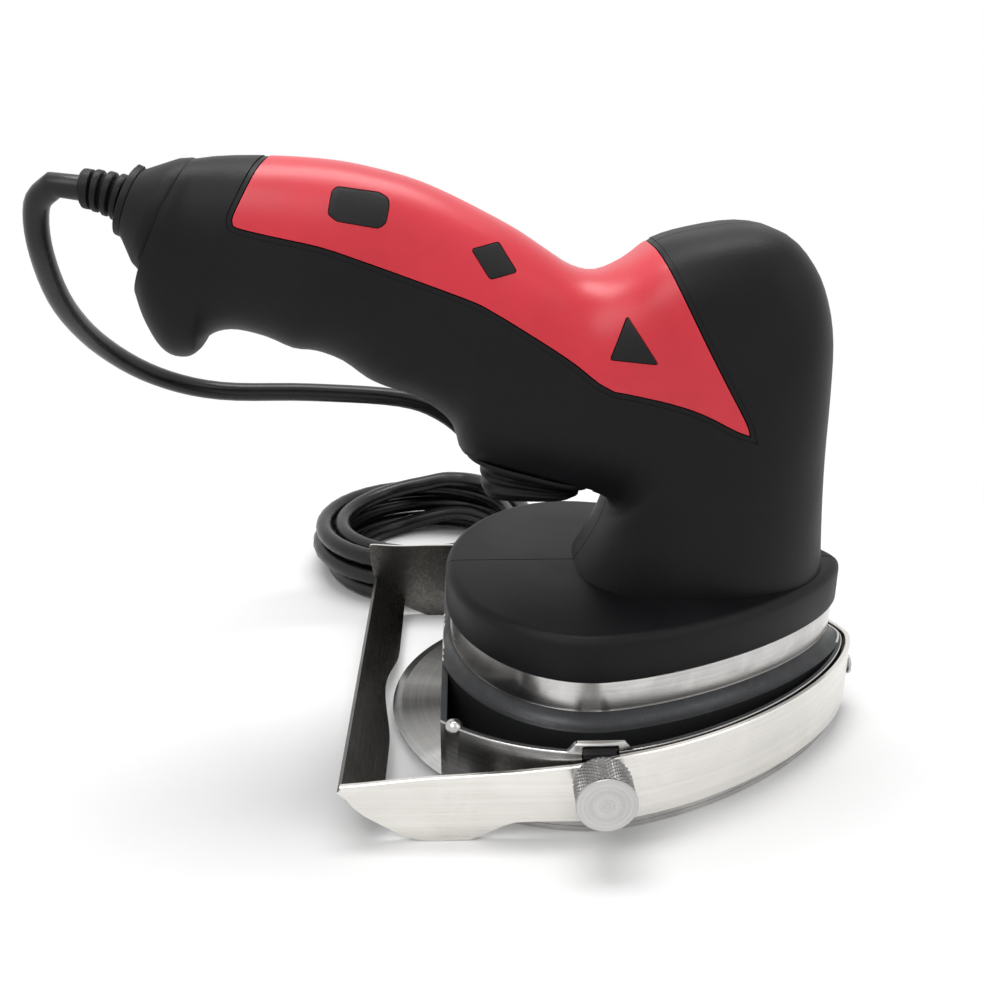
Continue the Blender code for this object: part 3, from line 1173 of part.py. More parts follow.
def build_cord():
    """Strain relief, mains lead, its coil on the table, and the plug."""
    ribs = [(0.0, RELIEF_LENGTH), (3.2, RELIEF_LENGTH), (4.5, RELIEF_LENGTH - 0.5), (4.5, RELIEF_LENGTH - 2.2)]
    for peak, z in ((4.8, 8.6), (5.1, 6.1), (5.4, 3.7)):
        ribs += [(peak - 1.1, z + 0.9), (peak, z + 0.5), (peak, z - 0.7)]
    ribs += [(4.4, 2.6), (4.4, 2.1), (8.3, 2.1), (8.3, 0.3), (5.3, 0.3), (5.3, -4.3), (7.3, -4.3), (7.3, -8.2),
             (5.3, -8.2), (5.3, -14.0), (0.0, -14.0)]
    relief = along_nose(ribs, 12)
    for vert in relief.data.vertices:
        vert.co = drooped(vert.co / MM) * MM
    finish_piece(relief, "strain_relief", "knife_frame", "black rubber")

    origin, direction = nose_frame()
    start = drooped(origin + direction * (RELIEF_LENGTH + CLEAR))
    tilt = math.radians(NOSE_TILT - RELIEF_DROOP)
    straight = start + Vector((-math.cos(tilt), 0.0, math.sin(tilt))) * (2.1 * CORD_RADIUS)
    coil_turns = [k / 24.0 for k in range(int(COIL_TURNS * 24) + 1)]
    coil = [coil_point(turn) for turn in coil_turns]
    ahead = (coil[0] - coil[1]).normalized()
    join = coil[0] + ahead * CLEAR
    run_in = join + ahead * (2.4 * CORD_RADIUS)
    hung = smooth_route(
        (
            straight, (-128.0, 2.6, 134.4), (-131.2, 9.5, 122.6), (-133.0, 24.0, 106.8), (-131.2, 44.0, 91.6),
            (-122.0, 60.0, 78.9), (-106.0, 70.4, 71.4),
            (-79.0, 77.0, 68.9), (-50.6, 81.0, 65.6), (-36.6, 83.6, 59.4), (-26.6, 85.2, 49.6), (-20.0, 88.6, 38.4),
            (-16.6, 95.6, 29.6), (-18.8, 106.0, 24.8), (-25.6, 116.2, 22.6), run_in,
        ), 2,
    )
    tube("mains_lead", [start] + hung + [join], "black plastic", 2)
    tube("cord_coil", coil, "black plastic", 1)

    plug_z = 6.95
    away = (coil[-1] - coil[-2]).normalized()
    leave = coil[-1] + away * CLEAR
    lead_out = leave + away * (2.4 * CORD_RADIUS)
    plug_x = 24.0
    plug_y = 79.0
    out = smooth_route(
        (lead_out, (-20.0, 64.6, 3.0), (-6.0, 69.0, 3.4), (6.0, 75.6, 5.2), (plug_x - 10.0, 78.8, 6.8),
         (plug_x - 3.6, plug_y, plug_z)), 2,
    )
    plug_lead = [leave] + out + [Vector((plug_x - CLEAR, plug_y, plug_z))]
    tube("plug_lead", plug_lead, "black plastic", 1)
    body = loft(
        [
            [
                (x, plug_y + wide * math.copysign(abs(math.cos(t)) ** 0.5, math.cos(t)),
                 plug_z + tall * math.copysign(abs(math.sin(t)) ** 0.5, math.sin(t)))
                for t in (2 * math.pi * k / 16 for k in range(16))
            ]
            for x, wide, tall in (
                (plug_x, 4.2, 4.2), (plug_x + 6.0, 5.0, 4.8), (plug_x + 14.0, 12.0, 6.4),
                (plug_x + 20.0, 16.6, 6.85), (plug_x + 34.0, 17.6, 6.85), (plug_x + 36.0, 17.0, 6.3),
            )
        ]
    )
    sockets = [
        turned(((0.0, 26.0), (2.3, 26.0), (2.3, 40.0), (0.0, 40.0)), 12,
               (plug_x, plug_y + side * 9.3, plug_z), (1.0, 0.0, 0.0))
        for side in (-1, 1)
    ]
    combine(body, "DIFFERENCE", *sockets)
    finish_piece(body, "plug_body", "knife_frame", "black plastic")
    for name, side in (("near_plug_pin", -1), ("far_plug_pin", 1)):
        pin = turned(
            ((0.0, 26.3), (2.0, 26.3), (2.0, 53.6), (1.2, 55.0), (0.0, 55.0)), 14,
            (plug_x, plug_y + side * 9.3, plug_z), (1.0, 0.0, 0.0),
        )
        finish_piece(pin, name, "knife_frame", "bright steel")

    whole = length_of([start] + hung + [join]) + length_of(coil) + length_of(plug_lead)
    print(f"cord length {whole:.0f} mm, least gap of the coil to itself {least_gap(coil):.2f} mm")


def seat_on_origin():
    """Moves the knife so that its box, without the cord and plug, is centred over the origin."""
    bpy.context.view_layer.update()
    left_out = {"mains_lead", "cord_coil", "plug_lead", "plug_body", "near_plug_pin", "far_plug_pin"}
    low = [1e9, 1e9]
    high = [-1e9, -1e9]
    for obj in bpy.data.objects:
        if obj.type != "MESH" or obj.name in left_out:
            continue
        for vert in obj.data.vertices:
            place = obj.matrix_world @ vert.co
            for axis in range(2):
                low[axis] = min(low[axis], place[axis])
                high[axis] = max(high[axis], place[axis])
    frame = bpy.data.objects["knife_frame"]
    frame.location = (-(low[0] + high[0]) / 2, -(low[1] + high[1]) / 2, 0.0)
    print("knife frame at", [round(value * 1000, 3) for value in frame.location])


def main():
    """Builds every piece of the knife."""
    clear_scene()
    make_frames()
    build_housing()
    build_panel()
    build_casting()
    build_bearing_plate()
    build_drive()
    build_motor()
    build_electrics()
    build_trigger()
    build_guard()
    build_clamp()
    build_cord()
    seat_on_origin()


main()
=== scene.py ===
"""Looks of the electric kebab knife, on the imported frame.

Sizes are in millimetres from the blade axis at the table, X towards the gear head's nose, Y away
from the camera and Z up. Each piece is worked in millimetres and put in its place in metres when it
is finished.
"""

from __future__ import annotations

import json
import logging
import math
from dataclasses import dataclass
from enum import Enum
from typing import Callable, Iterable, Sequence

import bmesh
import bpy
from mathutils import Matrix, Vector

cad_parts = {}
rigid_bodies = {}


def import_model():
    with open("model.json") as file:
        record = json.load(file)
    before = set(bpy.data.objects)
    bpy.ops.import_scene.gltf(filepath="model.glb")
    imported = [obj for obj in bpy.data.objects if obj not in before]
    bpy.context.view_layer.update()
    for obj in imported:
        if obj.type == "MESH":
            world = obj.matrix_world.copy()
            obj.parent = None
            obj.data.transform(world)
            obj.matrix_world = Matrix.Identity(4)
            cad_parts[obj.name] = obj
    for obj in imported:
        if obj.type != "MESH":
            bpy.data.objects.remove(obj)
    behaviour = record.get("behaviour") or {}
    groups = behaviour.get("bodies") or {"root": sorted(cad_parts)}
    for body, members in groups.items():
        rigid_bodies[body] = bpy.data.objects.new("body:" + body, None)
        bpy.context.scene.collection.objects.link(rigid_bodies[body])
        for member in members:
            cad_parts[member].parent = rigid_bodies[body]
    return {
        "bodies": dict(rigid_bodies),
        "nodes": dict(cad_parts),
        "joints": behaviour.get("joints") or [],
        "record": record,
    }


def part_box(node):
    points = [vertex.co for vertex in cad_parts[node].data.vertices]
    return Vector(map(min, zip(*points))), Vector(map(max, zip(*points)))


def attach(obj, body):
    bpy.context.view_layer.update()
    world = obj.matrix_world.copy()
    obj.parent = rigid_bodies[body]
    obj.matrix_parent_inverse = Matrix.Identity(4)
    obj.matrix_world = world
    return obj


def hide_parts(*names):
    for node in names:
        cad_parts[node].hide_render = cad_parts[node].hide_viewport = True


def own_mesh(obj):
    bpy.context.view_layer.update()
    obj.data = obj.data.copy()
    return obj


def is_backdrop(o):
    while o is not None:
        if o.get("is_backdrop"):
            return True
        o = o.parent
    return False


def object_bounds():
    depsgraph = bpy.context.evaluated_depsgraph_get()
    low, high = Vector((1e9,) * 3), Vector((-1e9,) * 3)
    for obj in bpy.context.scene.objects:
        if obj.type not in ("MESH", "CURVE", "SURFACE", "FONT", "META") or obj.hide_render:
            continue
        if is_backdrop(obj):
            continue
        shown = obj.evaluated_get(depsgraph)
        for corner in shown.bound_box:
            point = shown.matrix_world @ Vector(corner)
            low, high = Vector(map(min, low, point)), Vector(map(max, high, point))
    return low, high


LOG = logging.getLogger("kebab_knife")
FRAME: dict = {}
MM = 0.001
CLEAR = 0.3
MERGE = 1e-4
FULL_TURN = math.tau
COAT_ROUGHNESS = 0.25
SOFTENED_OVER = 40.0

Point = Sequence[float]
Outline = Sequence[Point]
Object = bpy.types.Object
Material = bpy.types.Material
Socket = bpy.types.NodeSocket


class Body(Enum):
    """The bodies that pieces ride on."""

    KNIFE = "knife"
    SPINDLE = "blade_spindle"
    GUARD = "guard"
    CLAMP = "clamp"


class Axis(Enum):
    """The line that an outline is extruded along."""

    ACROSS = "Y"
    UP = "Z"


class Cut(Enum):
    """What a Boolean does to its target."""

    JOIN = "UNION"
    TAKE = "DIFFERENCE"
    SHARE = "INTERSECT"


class Lay(Enum):
    """How the lines of a metal finish run."""

    LEVEL = "level"
    ACROSS = "across"
    TURNED_UP = "turned about the upright axis"
    TURNED_ACROSS = "turned about the crosswise axis"
    NONE = "none"


# Shapes


def solid(bm: bmesh.types.BMesh) -> Object:
    """Makes a scene object from a bmesh, facing out.

    Args:
        bm: The mesh in millimetres, which is freed.

    Returns:
        The new object.
    """
    bmesh.ops.recalc_face_normals(bm, faces=bm.faces)
    mesh = bpy.data.meshes.new("work")
    bm.to_mesh(mesh)
    bm.free()
    obj = bpy.data.objects.new("work", mesh)
    bpy.context.collection.objects.link(obj)
    return obj


def neighbours(ring: Sequence) -> list[tuple]:
    """Each item of a closed ring with the one after it."""
    return list(zip(ring, [*ring[1:], ring[0]]))


def loft(rings: Sequence[Outline]) -> Object:
    """A body with flat caps, drawn from ring to ring by extruding the first one.

    Args:
        rings: Rings of equally many points.

    Returns:
        The new object.
    """
    bm = bmesh.new()
    loop = [bm.verts.new(point) for point in rings[0]]
    edges = [bm.edges.new(pair) for pair in neighbours(loop)]
    bmesh.ops.contextual_create(bm, geom=edges)
    for ring in rings[1:]:
        made = bmesh.ops.extrude_edge_only(bm, edges=edges)["geom"]
        fresh = {item for item in made if isinstance(item, bmesh.types.BMVert)}
        after = []
        for vert, place in zip(loop, ring):
            partner = next(e.other_vert(vert) for e in vert.link_edges
                           if e.other_vert(vert) in fresh)
            partner.co = place
            after.append(partner)
        loop = after
        edges = [bm.edges.get(pair) for pair in neighbours(loop)]
    bmesh.ops.contextual_create(bm, geom=edges)
    return solid(bm)


def prism(outline: Outline, low: float, high: float, axis: Axis = Axis.UP) -> Object:
    """An outline extruded along an axis.

    Args:
        outline: Pairs of the two other coordinates.
        low: Where the body starts along the axis.
        high: Where it ends.
        axis: The line that it is extruded along.

    Returns:
        The new object.
    """
    across = axis is Axis.ACROSS
    bm = bmesh.new()
    corners = [(a, low, b) if across else (a, b, low) for a, b in outline]
    face = bm.faces.new([bm.verts.new(corner) for corner in corners])
    made = bmesh.ops.extrude_face_region(bm, geom=[face], use_keep_orig=True)["geom"]
    shift = (0, high - low, 0) if across else (0, 0, high - low)
    bmesh.ops.translate(bm, vec=shift, verts=[v for v in made if isinstance(v, bmesh.types.BMVert)])
    return solid(bm)


def block(low: Point, high: Point, radius: float = 0.0) -> Object:
    """A box between two corners, its edges rounded.

    Args:
        low: The lowest corner.
        high: The highest corner.
        radius: Width of the rounding, or 0 for none.

    Returns:
        The new object.
    """
    bm = bmesh.new()
    bmesh.ops.create_cube(bm, size=1.0)
    size = Vector(high) - Vector(low)
    bmesh.ops.scale(bm, vec=size, verts=bm.verts)
    bmesh.ops.translate(bm, vec=(Vector(high) + Vector(low)) / 2, verts=bm.verts)
    if radius:
        bmesh.ops.bevel(bm, geom=bm.edges[:], offset=radius, affect="EDGES", segments=2,
                        profile=0.5, material=-1)
    return solid(bm)


def turned(profile: Outline, segments: int = 64, origin: Point = (0, 0, 0),
           direction: Point = (0, 0, 1)) -> Object:
    """A profile spun a full turn.

    Args:
        profile: Pairs of radius and height.
        segments: Steps of the turn.
        origin: A point on the line that it is spun about.
        direction: That line's direction.

    Returns:
        The new object.
    """
    bm = bmesh.new()
    verts = [bm.verts.new((radius, 0.0, height)) for radius, height in profile]
    edges = [bm.edges.new(pair) for pair in zip(verts, verts[1:])]
    if profile[0][0] > 0 and profile[-1][0] > 0:
        edges.append(bm.edges.new((verts[-1], verts[0])))
    bmesh.ops.spin(bm, geom=verts + edges, cent=(0, 0, 0), axis=(0, 0, 1), angle=FULL_TURN,
                   steps=segments, use_merge=True)
    bmesh.ops.remove_doubles(bm, verts=bm.verts, dist=MERGE)
    turn = Vector(direction).to_track_quat("Z", "Y").to_matrix().to_4x4()
    bmesh.ops.transform(bm, matrix=Matrix.Translation(origin) @ turn, verts=bm.verts)
    return solid(bm)


def straight(radius: float, low: float, high: float) -> Outline:
    """The profile of a plain cylinder."""
    return (0, low), (radius, low), (radius, high), (0, high)


def rod(radius: float, low: float, high: float, x: float = 0.0, y: float = 0.0,
        segments: int = 48) -> Object:
    """An upright cylinder."""
    return turned(straight(radius, low, high), segments, (x, y, 0.0))


def cross_rod(radius: float, low: float, high: float, x: float, z: float,
              segments: int = 48) -> Object:
    """A cylinder along Y."""
    return turned(straight(radius, low, high), segments, (x, 0, z), (0, 1, 0))


def long_rod(radius: float, low: float, high: float, place: Point) -> Object:
    """A cylinder along X, its ends measured from a place."""
    return turned(straight(radius, low, high), 32, place, (1, 0, 0))


def combine(target: Object, cut: Cut, *others: Object) -> Object:
    """Applies a Boolean of each other object to the target and deletes the others.

    Args:
        target: The object that stays.
        cut: What is done to it.
        others: The objects that are used up.

    Returns:
        The target.
    """
    for other in others:
        modifier = target.modifiers.new("shape", "BOOLEAN")
        modifier.operation = cut.value
        modifier.solver = "EXACT"
        modifier.object = other
    bpy.context.view_layer.update()
    graph = bpy.context.evaluated_depsgraph_get()
    mesh = bpy.data.meshes.new_from_object(target.evaluated_get(graph))
    target.modifiers.clear()
    before, target.data = target.data, mesh
    bpy.data.meshes.remove(before)
    for other in others:
        spent = other.data
        bpy.data.objects.remove(other)
        bpy.data.meshes.remove(spent)
    return target


def copy_of(obj: Object) -> Object:
    """A second object with its own mesh.

    Args:
        obj: The object that is copied.

    Returns:
        The copy.
    """
    other = obj.copy()
    other.data = obj.data.copy()
    bpy.context.collection.objects.link(other)
    return other


def keep_half(obj: Object, y: float, side: float) -> None:
    """Cuts an object along an upright plane and closes the cut.

    Args:
        obj: The object, which is changed.
        y: Where the plane stands.
        side: 1 to keep the far side, -1 to keep the near side.
    """
    bm = bmesh.new()
    bm.from_mesh(obj.data)
    cut = bmesh.ops.bisect_plane(
        bm, geom=bm.verts[:] + bm.edges[:] + bm.faces[:], dist=1e-5, plane_co=(0.0, y, 0.0),
        plane_no=(0.0, side, 0.0), clear_inner=True,
    )
    rim = [item for item in cut["geom_cut"] if isinstance(item, bmesh.types.BMEdge)]
    bmesh.ops.triangle_fill(bm, edges=rim, use_beauty=True, use_dissolve=False)
    bmesh.ops.recalc_face_normals(bm, faces=bm.faces)
    bm.to_mesh(obj.data)
    bm.free()


def between_points(a: object, b: object, c: object, d: object, t: float) -> object:
    """A Catmull-Rom value between the second and the third of four points or numbers."""
    return 0.5 * ((2 * b) + (c - a) * t + (2 * a - 5 * b + 4 * c - d) * t * t
                  + (3 * b - a - 3 * c + d) * t * t * t)


def eased(share: float) -> float:
    """A share from 0 to 1 with a level start and end."""
    return share * share * (3 - 2 * share)


def smooth_line(points: Sequence[Point], per_span: int) -> list[Vector]:
    """A Catmull-Rom line through placed points.

    Args:
        points: The points it goes through.
        per_span: Steps between two of them.

    Returns:
        The points of the line.
    """
    line = [Vector(point) for point in points]
    line = [line[0] * 2 - line[1]] + line + [line[-1] * 2 - line[-2]]
    result = [between_points(*line[k - 1:k + 3], step / per_span)
              for k in range(1, len(line) - 2) for step in range(per_span)]
    return result + [line[-2]]


def grown(outline: Outline, amount: float) -> list[Point]:
    """An outline moved outwards by an amount, corner by corner.

    Args:
        outline: Its corners in order.
        amount: How far each side moves.

    Returns:
        The new corners.
    """
    area = sum(a[0] * b[1] - b[0] * a[1] for a, b in neighbours(outline))
    side = 1.0 if area > 0 else -1.0
    result = []
    for k, point in enumerate(outline):
        here = Vector(point)
        first = (here - Vector(outline[k - 1])).normalized()
        second = (Vector(outline[(k + 1) % len(outline)]) - here).normalized()
        normal = Vector((first.y, -first.x)) * side
        middle = (normal + Vector((second.y, -second.x)) * side).normalized()
        result.append(tuple(here + middle * (amount / max(0.45, middle.dot(normal)))))
    return result


def on_squircle(angle: float, power: float) -> tuple[float, float]:
    """A place on a superellipse with half axes of 1."""
    c, s = math.cos(angle), math.sin(angle)
    return math.copysign(abs(c) ** (2 / power), c), math.copysign(abs(s) ** (2 / power), s)


def section(inner: Point, outer: Point, half: float, outer_power: float, inner_power: float,
            count: int) -> list[Point]:
    """A superellipse ring in the plane through two points of the side view.

    Args:
        inner: The ring's point on the inner edge, as x and z.
        outer: Its point on the outer edge.
        half: Half of its width across.
        outer_power: How square its outer half is.
        inner_power: How square its inner half is.
        count: Points of the ring.

    Returns:
        The ring.
    """
    centre = ((inner[0] + outer[0]) / 2, (inner[1] + outer[1]) / 2)
    reach = ((outer[0] - inner[0]) / 2, (outer[1] - inner[1]) / 2)
    ring = []
    for k in range(count):
        angle = FULL_TURN * k / count
        along, across = on_squircle(angle, outer_power if math.cos(angle) > 0 else inner_power)
        ring.append((centre[0] + along * reach[0], half * across, centre[1] + along * reach[1]))
    return ring


@dataclass(frozen=True)
class Egg:
    """The gear head's outline: an ellipse half on the left and a pointed half on the right."""

    left: float
    right: float
    half: float
    power: float = 1.5

    def outline(self, offset: float = 0.0, count: int = 160) -> list[Point]:
        """The outline moved outwards by an offset.

        Args:
            offset: How far it is moved.
            count: Points of the outline.

        Returns:
            Pairs of x and y.
        """
        points = []
        for k in range(count):
            angle = FULL_TURN * k / count
            pointed = math.cos(angle) > 1e-9
            along, across = on_squircle(angle, self.power if pointed else 2.0)
            reach = (self.right if pointed else self.left) + offset
            points.append((reach * along, (self.half + offset) * across))
        return points

    def share(self, x: float, y: float) -> float:
        """How far out a place lies: 1 on the outline, less inside it.

        Args:
            x: How far right of the blade axis the place lies.
            y: How far behind it.

        Returns:
            The share.
        """
        power = self.power if x > 0 else 2.0
        reach = self.right if x > 0 else self.left
        return abs(x / reach) ** power + abs(y / self.half) ** power

    def stack(self, levels: Outline, count: int = 160) -> Object:
        """A body of this outline at pairs of height and offset."""
        return loft([[(x, y, z) for x, y in self.outline(offset, count)] for z, offset in levels])


def clipped(outline: Outline, least: float) -> list[Point]:
    """A convex outline with everything left of a line cut off.

    Args:
        outline: Its corners in order.
        least: The least x that stays.

    Returns:
        The corners of what stays.
    """
    result = []
    for first, second in neighbours(outline):
        if first[0] >= least:
            result.append(first)
        if (first[0] - least) * (second[0] - least) < 0:
            share = (least - first[0]) / (second[0] - first[0])
            result.append((least, first[1] + share * (second[1] - first[1])))
    return result


# Finishes


class Shading:
    """A node tree under construction, with short ways to add and join nodes."""

    def __init__(self, tree: bpy.types.NodeTree) -> None:
        """Takes over a tree."""
        self.tree = tree

    def add(self, kind: str, inputs: dict | None = None, **settings: object) -> bpy.types.Node:
        """Adds a node.

        Args:
            kind: The node's type name without its ShaderNode prefix.
            inputs: Values or sockets for its inputs, by name or number.
            settings: Its other properties.

        Returns:
            The new node.
        """
        node = self.tree.nodes.new(kind if kind.startswith("Node") else "ShaderNode" + kind)
        for key, value in settings.items():
            setattr(node, key, value)
        for key, value in (inputs or {}).items():
            if isinstance(value, bpy.types.NodeSocket):
                self.tree.links.new(value, node.inputs[key])
            else:
                node.inputs[key].default_value = value
        return node

    def maths(self, operation: str, *values: object, clamp: bool = False) -> Socket:
        """A Math node's result for two or three values."""
        inputs = dict(enumerate(values))
        return self.add("Math", inputs, operation=operation, use_clamp=clamp).outputs[0]

    def vector(self, operation: str, *values: object) -> Socket:
        """A Vector Math node's vector."""
        return self.add("VectorMath", dict(enumerate(values)), operation=operation).outputs[0]

    def length(self, value: Socket) -> Socket:
        """The length of a vector."""
        return self.add("VectorMath", {0: value}, operation="LENGTH").outputs["Value"]

    def place(self) -> Socket:
        """The Object coordinates."""
        return self.add("TexCoord").outputs["Object"]

    def noise(self, place: Socket, scale: object, detail: float, roughness: float = 0.5,
              distortion: float = 0.0) -> Socket:
        """A noise texture's value."""
        return self.add("TexNoise", {"Vector": place, "Scale": scale, "Detail": detail,
                                     "Roughness": roughness, "Distortion": distortion}).outputs[0]

    def seen(self) -> Socket:
        """1 for camera, mirror and glass rays, and 0 for the rays that light things.

        Returns:
            A socket of 1 or 0.
        """
        path = self.add("LightPath").outputs
        first = self.maths("ADD", path["Is Camera Ray"], path["Is Glossy Ray"])
        return self.maths("ADD", first, path["Is Transmission Ray"], clamp=True)

    def spread(self, value: Socket, low: float, high: float, to_low: float,
               to_high: float) -> Socket:
        """A value moved from one range to another."""
        return self.add("MapRange", {0: value, 1: low, 2: high, 3: to_low, 4: to_high}).outputs[0]

    def blended(self, share: Socket, first: object, second: object) -> Socket:
        """A mix of two colours by a share."""
        return self.add("Mix", {0: share, 6: first, 7: second}, data_type="RGBA").outputs[2]


def effect(title: str, inputs: dict[str, float | str], outputs: dict[str, str],
           fill: Callable[[Shading, dict[str, Socket]], dict[str, Socket]]) -> bpy.types.NodeTree:
    """A shader node group that several finishes share, built once.

    Args:
        title: The group's name.
        inputs: Its inputs, with a default value or the word vector.
        outputs: Its outputs, each float or colour.
        fill: Adds its nodes and gives the socket for each output.

    Returns:
        The group.
    """
    tree = bpy.data.node_groups.get(title)
    if tree:
        return tree
    tree = bpy.data.node_groups.new(title, "ShaderNodeTree")
    for name, value in inputs.items():
        kind = "NodeSocketVector" if value == "vector" else "NodeSocketFloat"
        made = tree.interface.new_socket(name=name, in_out="INPUT", socket_type=kind)
        if kind == "NodeSocketFloat":
            made.default_value = value
    for name, kind in outputs.items():
        socket = "NodeSocketColor" if kind == "colour" else "NodeSocketFloat"
        tree.interface.new_socket(name=name, in_out="OUTPUT", socket_type=socket)
    shading = Shading(tree)
    start = shading.add("NodeGroupInput")
    end = shading.add("NodeGroupOutput")
    for name, socket in fill(shading, {s.name: s for s in start.outputs if s.name}).items():
        tree.links.new(socket, end.inputs[name])
    return tree


def grain_effect() -> bpy.types.NodeTree:
    """Spark-eroded mould grain: a pebbled height and slow patches.

    Returns:
        The group, with a height and a mask of patches.
    """

    def fill(shading: Shading, given: dict[str, Socket]) -> dict[str, Socket]:
        """Fine noise over pebbles, and slow noise.

        Args:
            shading: The group's nodes.
            given: Its inputs.

        Returns:
            The sockets of the height and the patches.
        """
        place = shading.place()
        fine = shading.noise(place, given["Scale"], 3.0, 0.6)
        pebble = shading.add("TexVoronoi",
                             {"Vector": place, "Scale": given["Scale"]}).outputs["Distance"]
        height = shading.maths("ADD", shading.maths("MULTIPLY", fine, 0.65),
                               shading.maths("MULTIPLY", pebble, 0.5))
        slow = shading.noise(place, given["Patch scale"], 4.0, 0.55)
        return {"Height": height, "Patches": shading.spread(slow, 0.35, 0.65, 0.0, 1.0)}

    return effect("mould grain", {"Scale": 3500.0, "Patch scale": 40.0},
                  {"Height": "float", "Patches": "float"}, fill)


def lines_effect() -> bpy.types.NodeTree:
    """Brushing: long fine lines along a stretched coordinate.

    Returns:
        The group, with a height and a mask of streaks.
    """

    def fill(shading: Shading, given: dict[str, Socket]) -> dict[str, Socket]:
        """Noise on the stretched coordinate.

        Args:
            shading: The group's nodes.
            given: Its inputs.

        Returns:
            The sockets of the height and the streaks.
        """
        fine = shading.noise(given["Stretched"], 1.0, 5.0, 0.7)
        wide = shading.noise(given["Stretched"], 0.16, 2.0)
        streaks = shading.maths("ADD", shading.maths("MULTIPLY", fine, 0.6),
                                shading.maths("MULTIPLY", wide, 0.4))
        return {"Height": fine, "Streaks": shading.spread(streaks, 0.38, 0.62, 0.0, 1.0)}

    return effect("brushed lines", {"Stretched": "vector"}, {"Height": "float", "Streaks": "float"},
                  fill)


def handling_effect() -> bpy.types.NodeTree:
    """Finger marks and wiped film: a slow, uneven mask.

    Returns:
        The group, with a mask of film.
    """

    def fill(shading: Shading, given: dict[str, Socket]) -> dict[str, Socket]:
        """Slow noise with soft limits."""
        film = shading.noise(shading.place(), given["Scale"], 6.0, 0.6, 0.8)
        return {"Film": shading.spread(film, 0.42, 0.66, 0.0, 1.0)}

    return effect("handling film", {"Scale": 55.0}, {"Film": "float"}, fill)


class Finish:
    """A surface finish that makes its own material."""

    title: str

    def material(self) -> Material:
        """The finish's material, built once.

        Returns:
            The material.
        """
        made = bpy.data.materials.get(self.title)
        if made is None:
            made = bpy.data.materials.new(self.title)
            made.use_nodes = True
            made.node_tree.nodes.clear()
            shading = Shading(made.node_tree)
            shader = shading.add("BsdfPrincipled")
            out = shading.add("OutputMaterial")
            made.node_tree.links.new(shader.outputs[0], out.inputs[0])
            self.fill(shading, shader)
            made.diffuse_color = shader.inputs["Base Color"].default_value
        return made

    def fill(self, shading: Shading, shader: bpy.types.Node) -> None:
        """Adds the finish's own nodes."""
        raise NotImplementedError


@dataclass(frozen=True)
class Moulded(Finish):
    """Moulded plastic, rubber or another dull material with a fine grain."""

    title: str
    colour: tuple[float, float, float]
    light: tuple[float, float, float]
    roughness: tuple[float, float]
    grain: float = 3500.0
    depth: float = 0.00003
    patch: float = 40.0
    specular: float = 0.5
    coat: float = 0.0

    def fill(self, shading: Shading, shader: bpy.types.Node) -> None:
        """Grain for the bump and the roughness, patches and film for the colour.

        Args:
            shading: The material's nodes.
            shader: Its Principled shader.
        """
        grain = shading.add("Group", node_tree=grain_effect())
        grain.inputs["Scale"].default_value = self.grain
        grain.inputs["Patch scale"].default_value = self.patch
        film = shading.add("Group", node_tree=handling_effect())
        mask = shading.maths("MULTIPLY", grain.outputs["Patches"], 0.75)
        mask = shading.maths("ADD", mask, shading.maths("MULTIPLY", film.outputs["Film"], 0.25),
                             clamp=True)
        colour = shading.blended(mask, (*self.colour, 1.0), (*self.light, 1.0))
        shading.tree.links.new(colour, shader.inputs["Base Color"])
        rough = shading.spread(mask, 0.0, 1.0, *self.roughness)
        shading.tree.links.new(rough, shader.inputs["Roughness"])
        bump = shading.add("Bump", {"Height": grain.outputs["Height"], "Strength": 1.0,
                                    "Distance": self.depth})
        shading.tree.links.new(bump.outputs[0], shader.inputs["Normal"])
        shader.inputs["Base Color"].default_value = (*self.colour, 1.0)
        shader.inputs["Specular IOR Level"].default_value = self.specular
        shader.inputs["Coat Weight"].default_value = self.coat
        shader.inputs["Coat Roughness"].default_value = COAT_ROUGHNESS


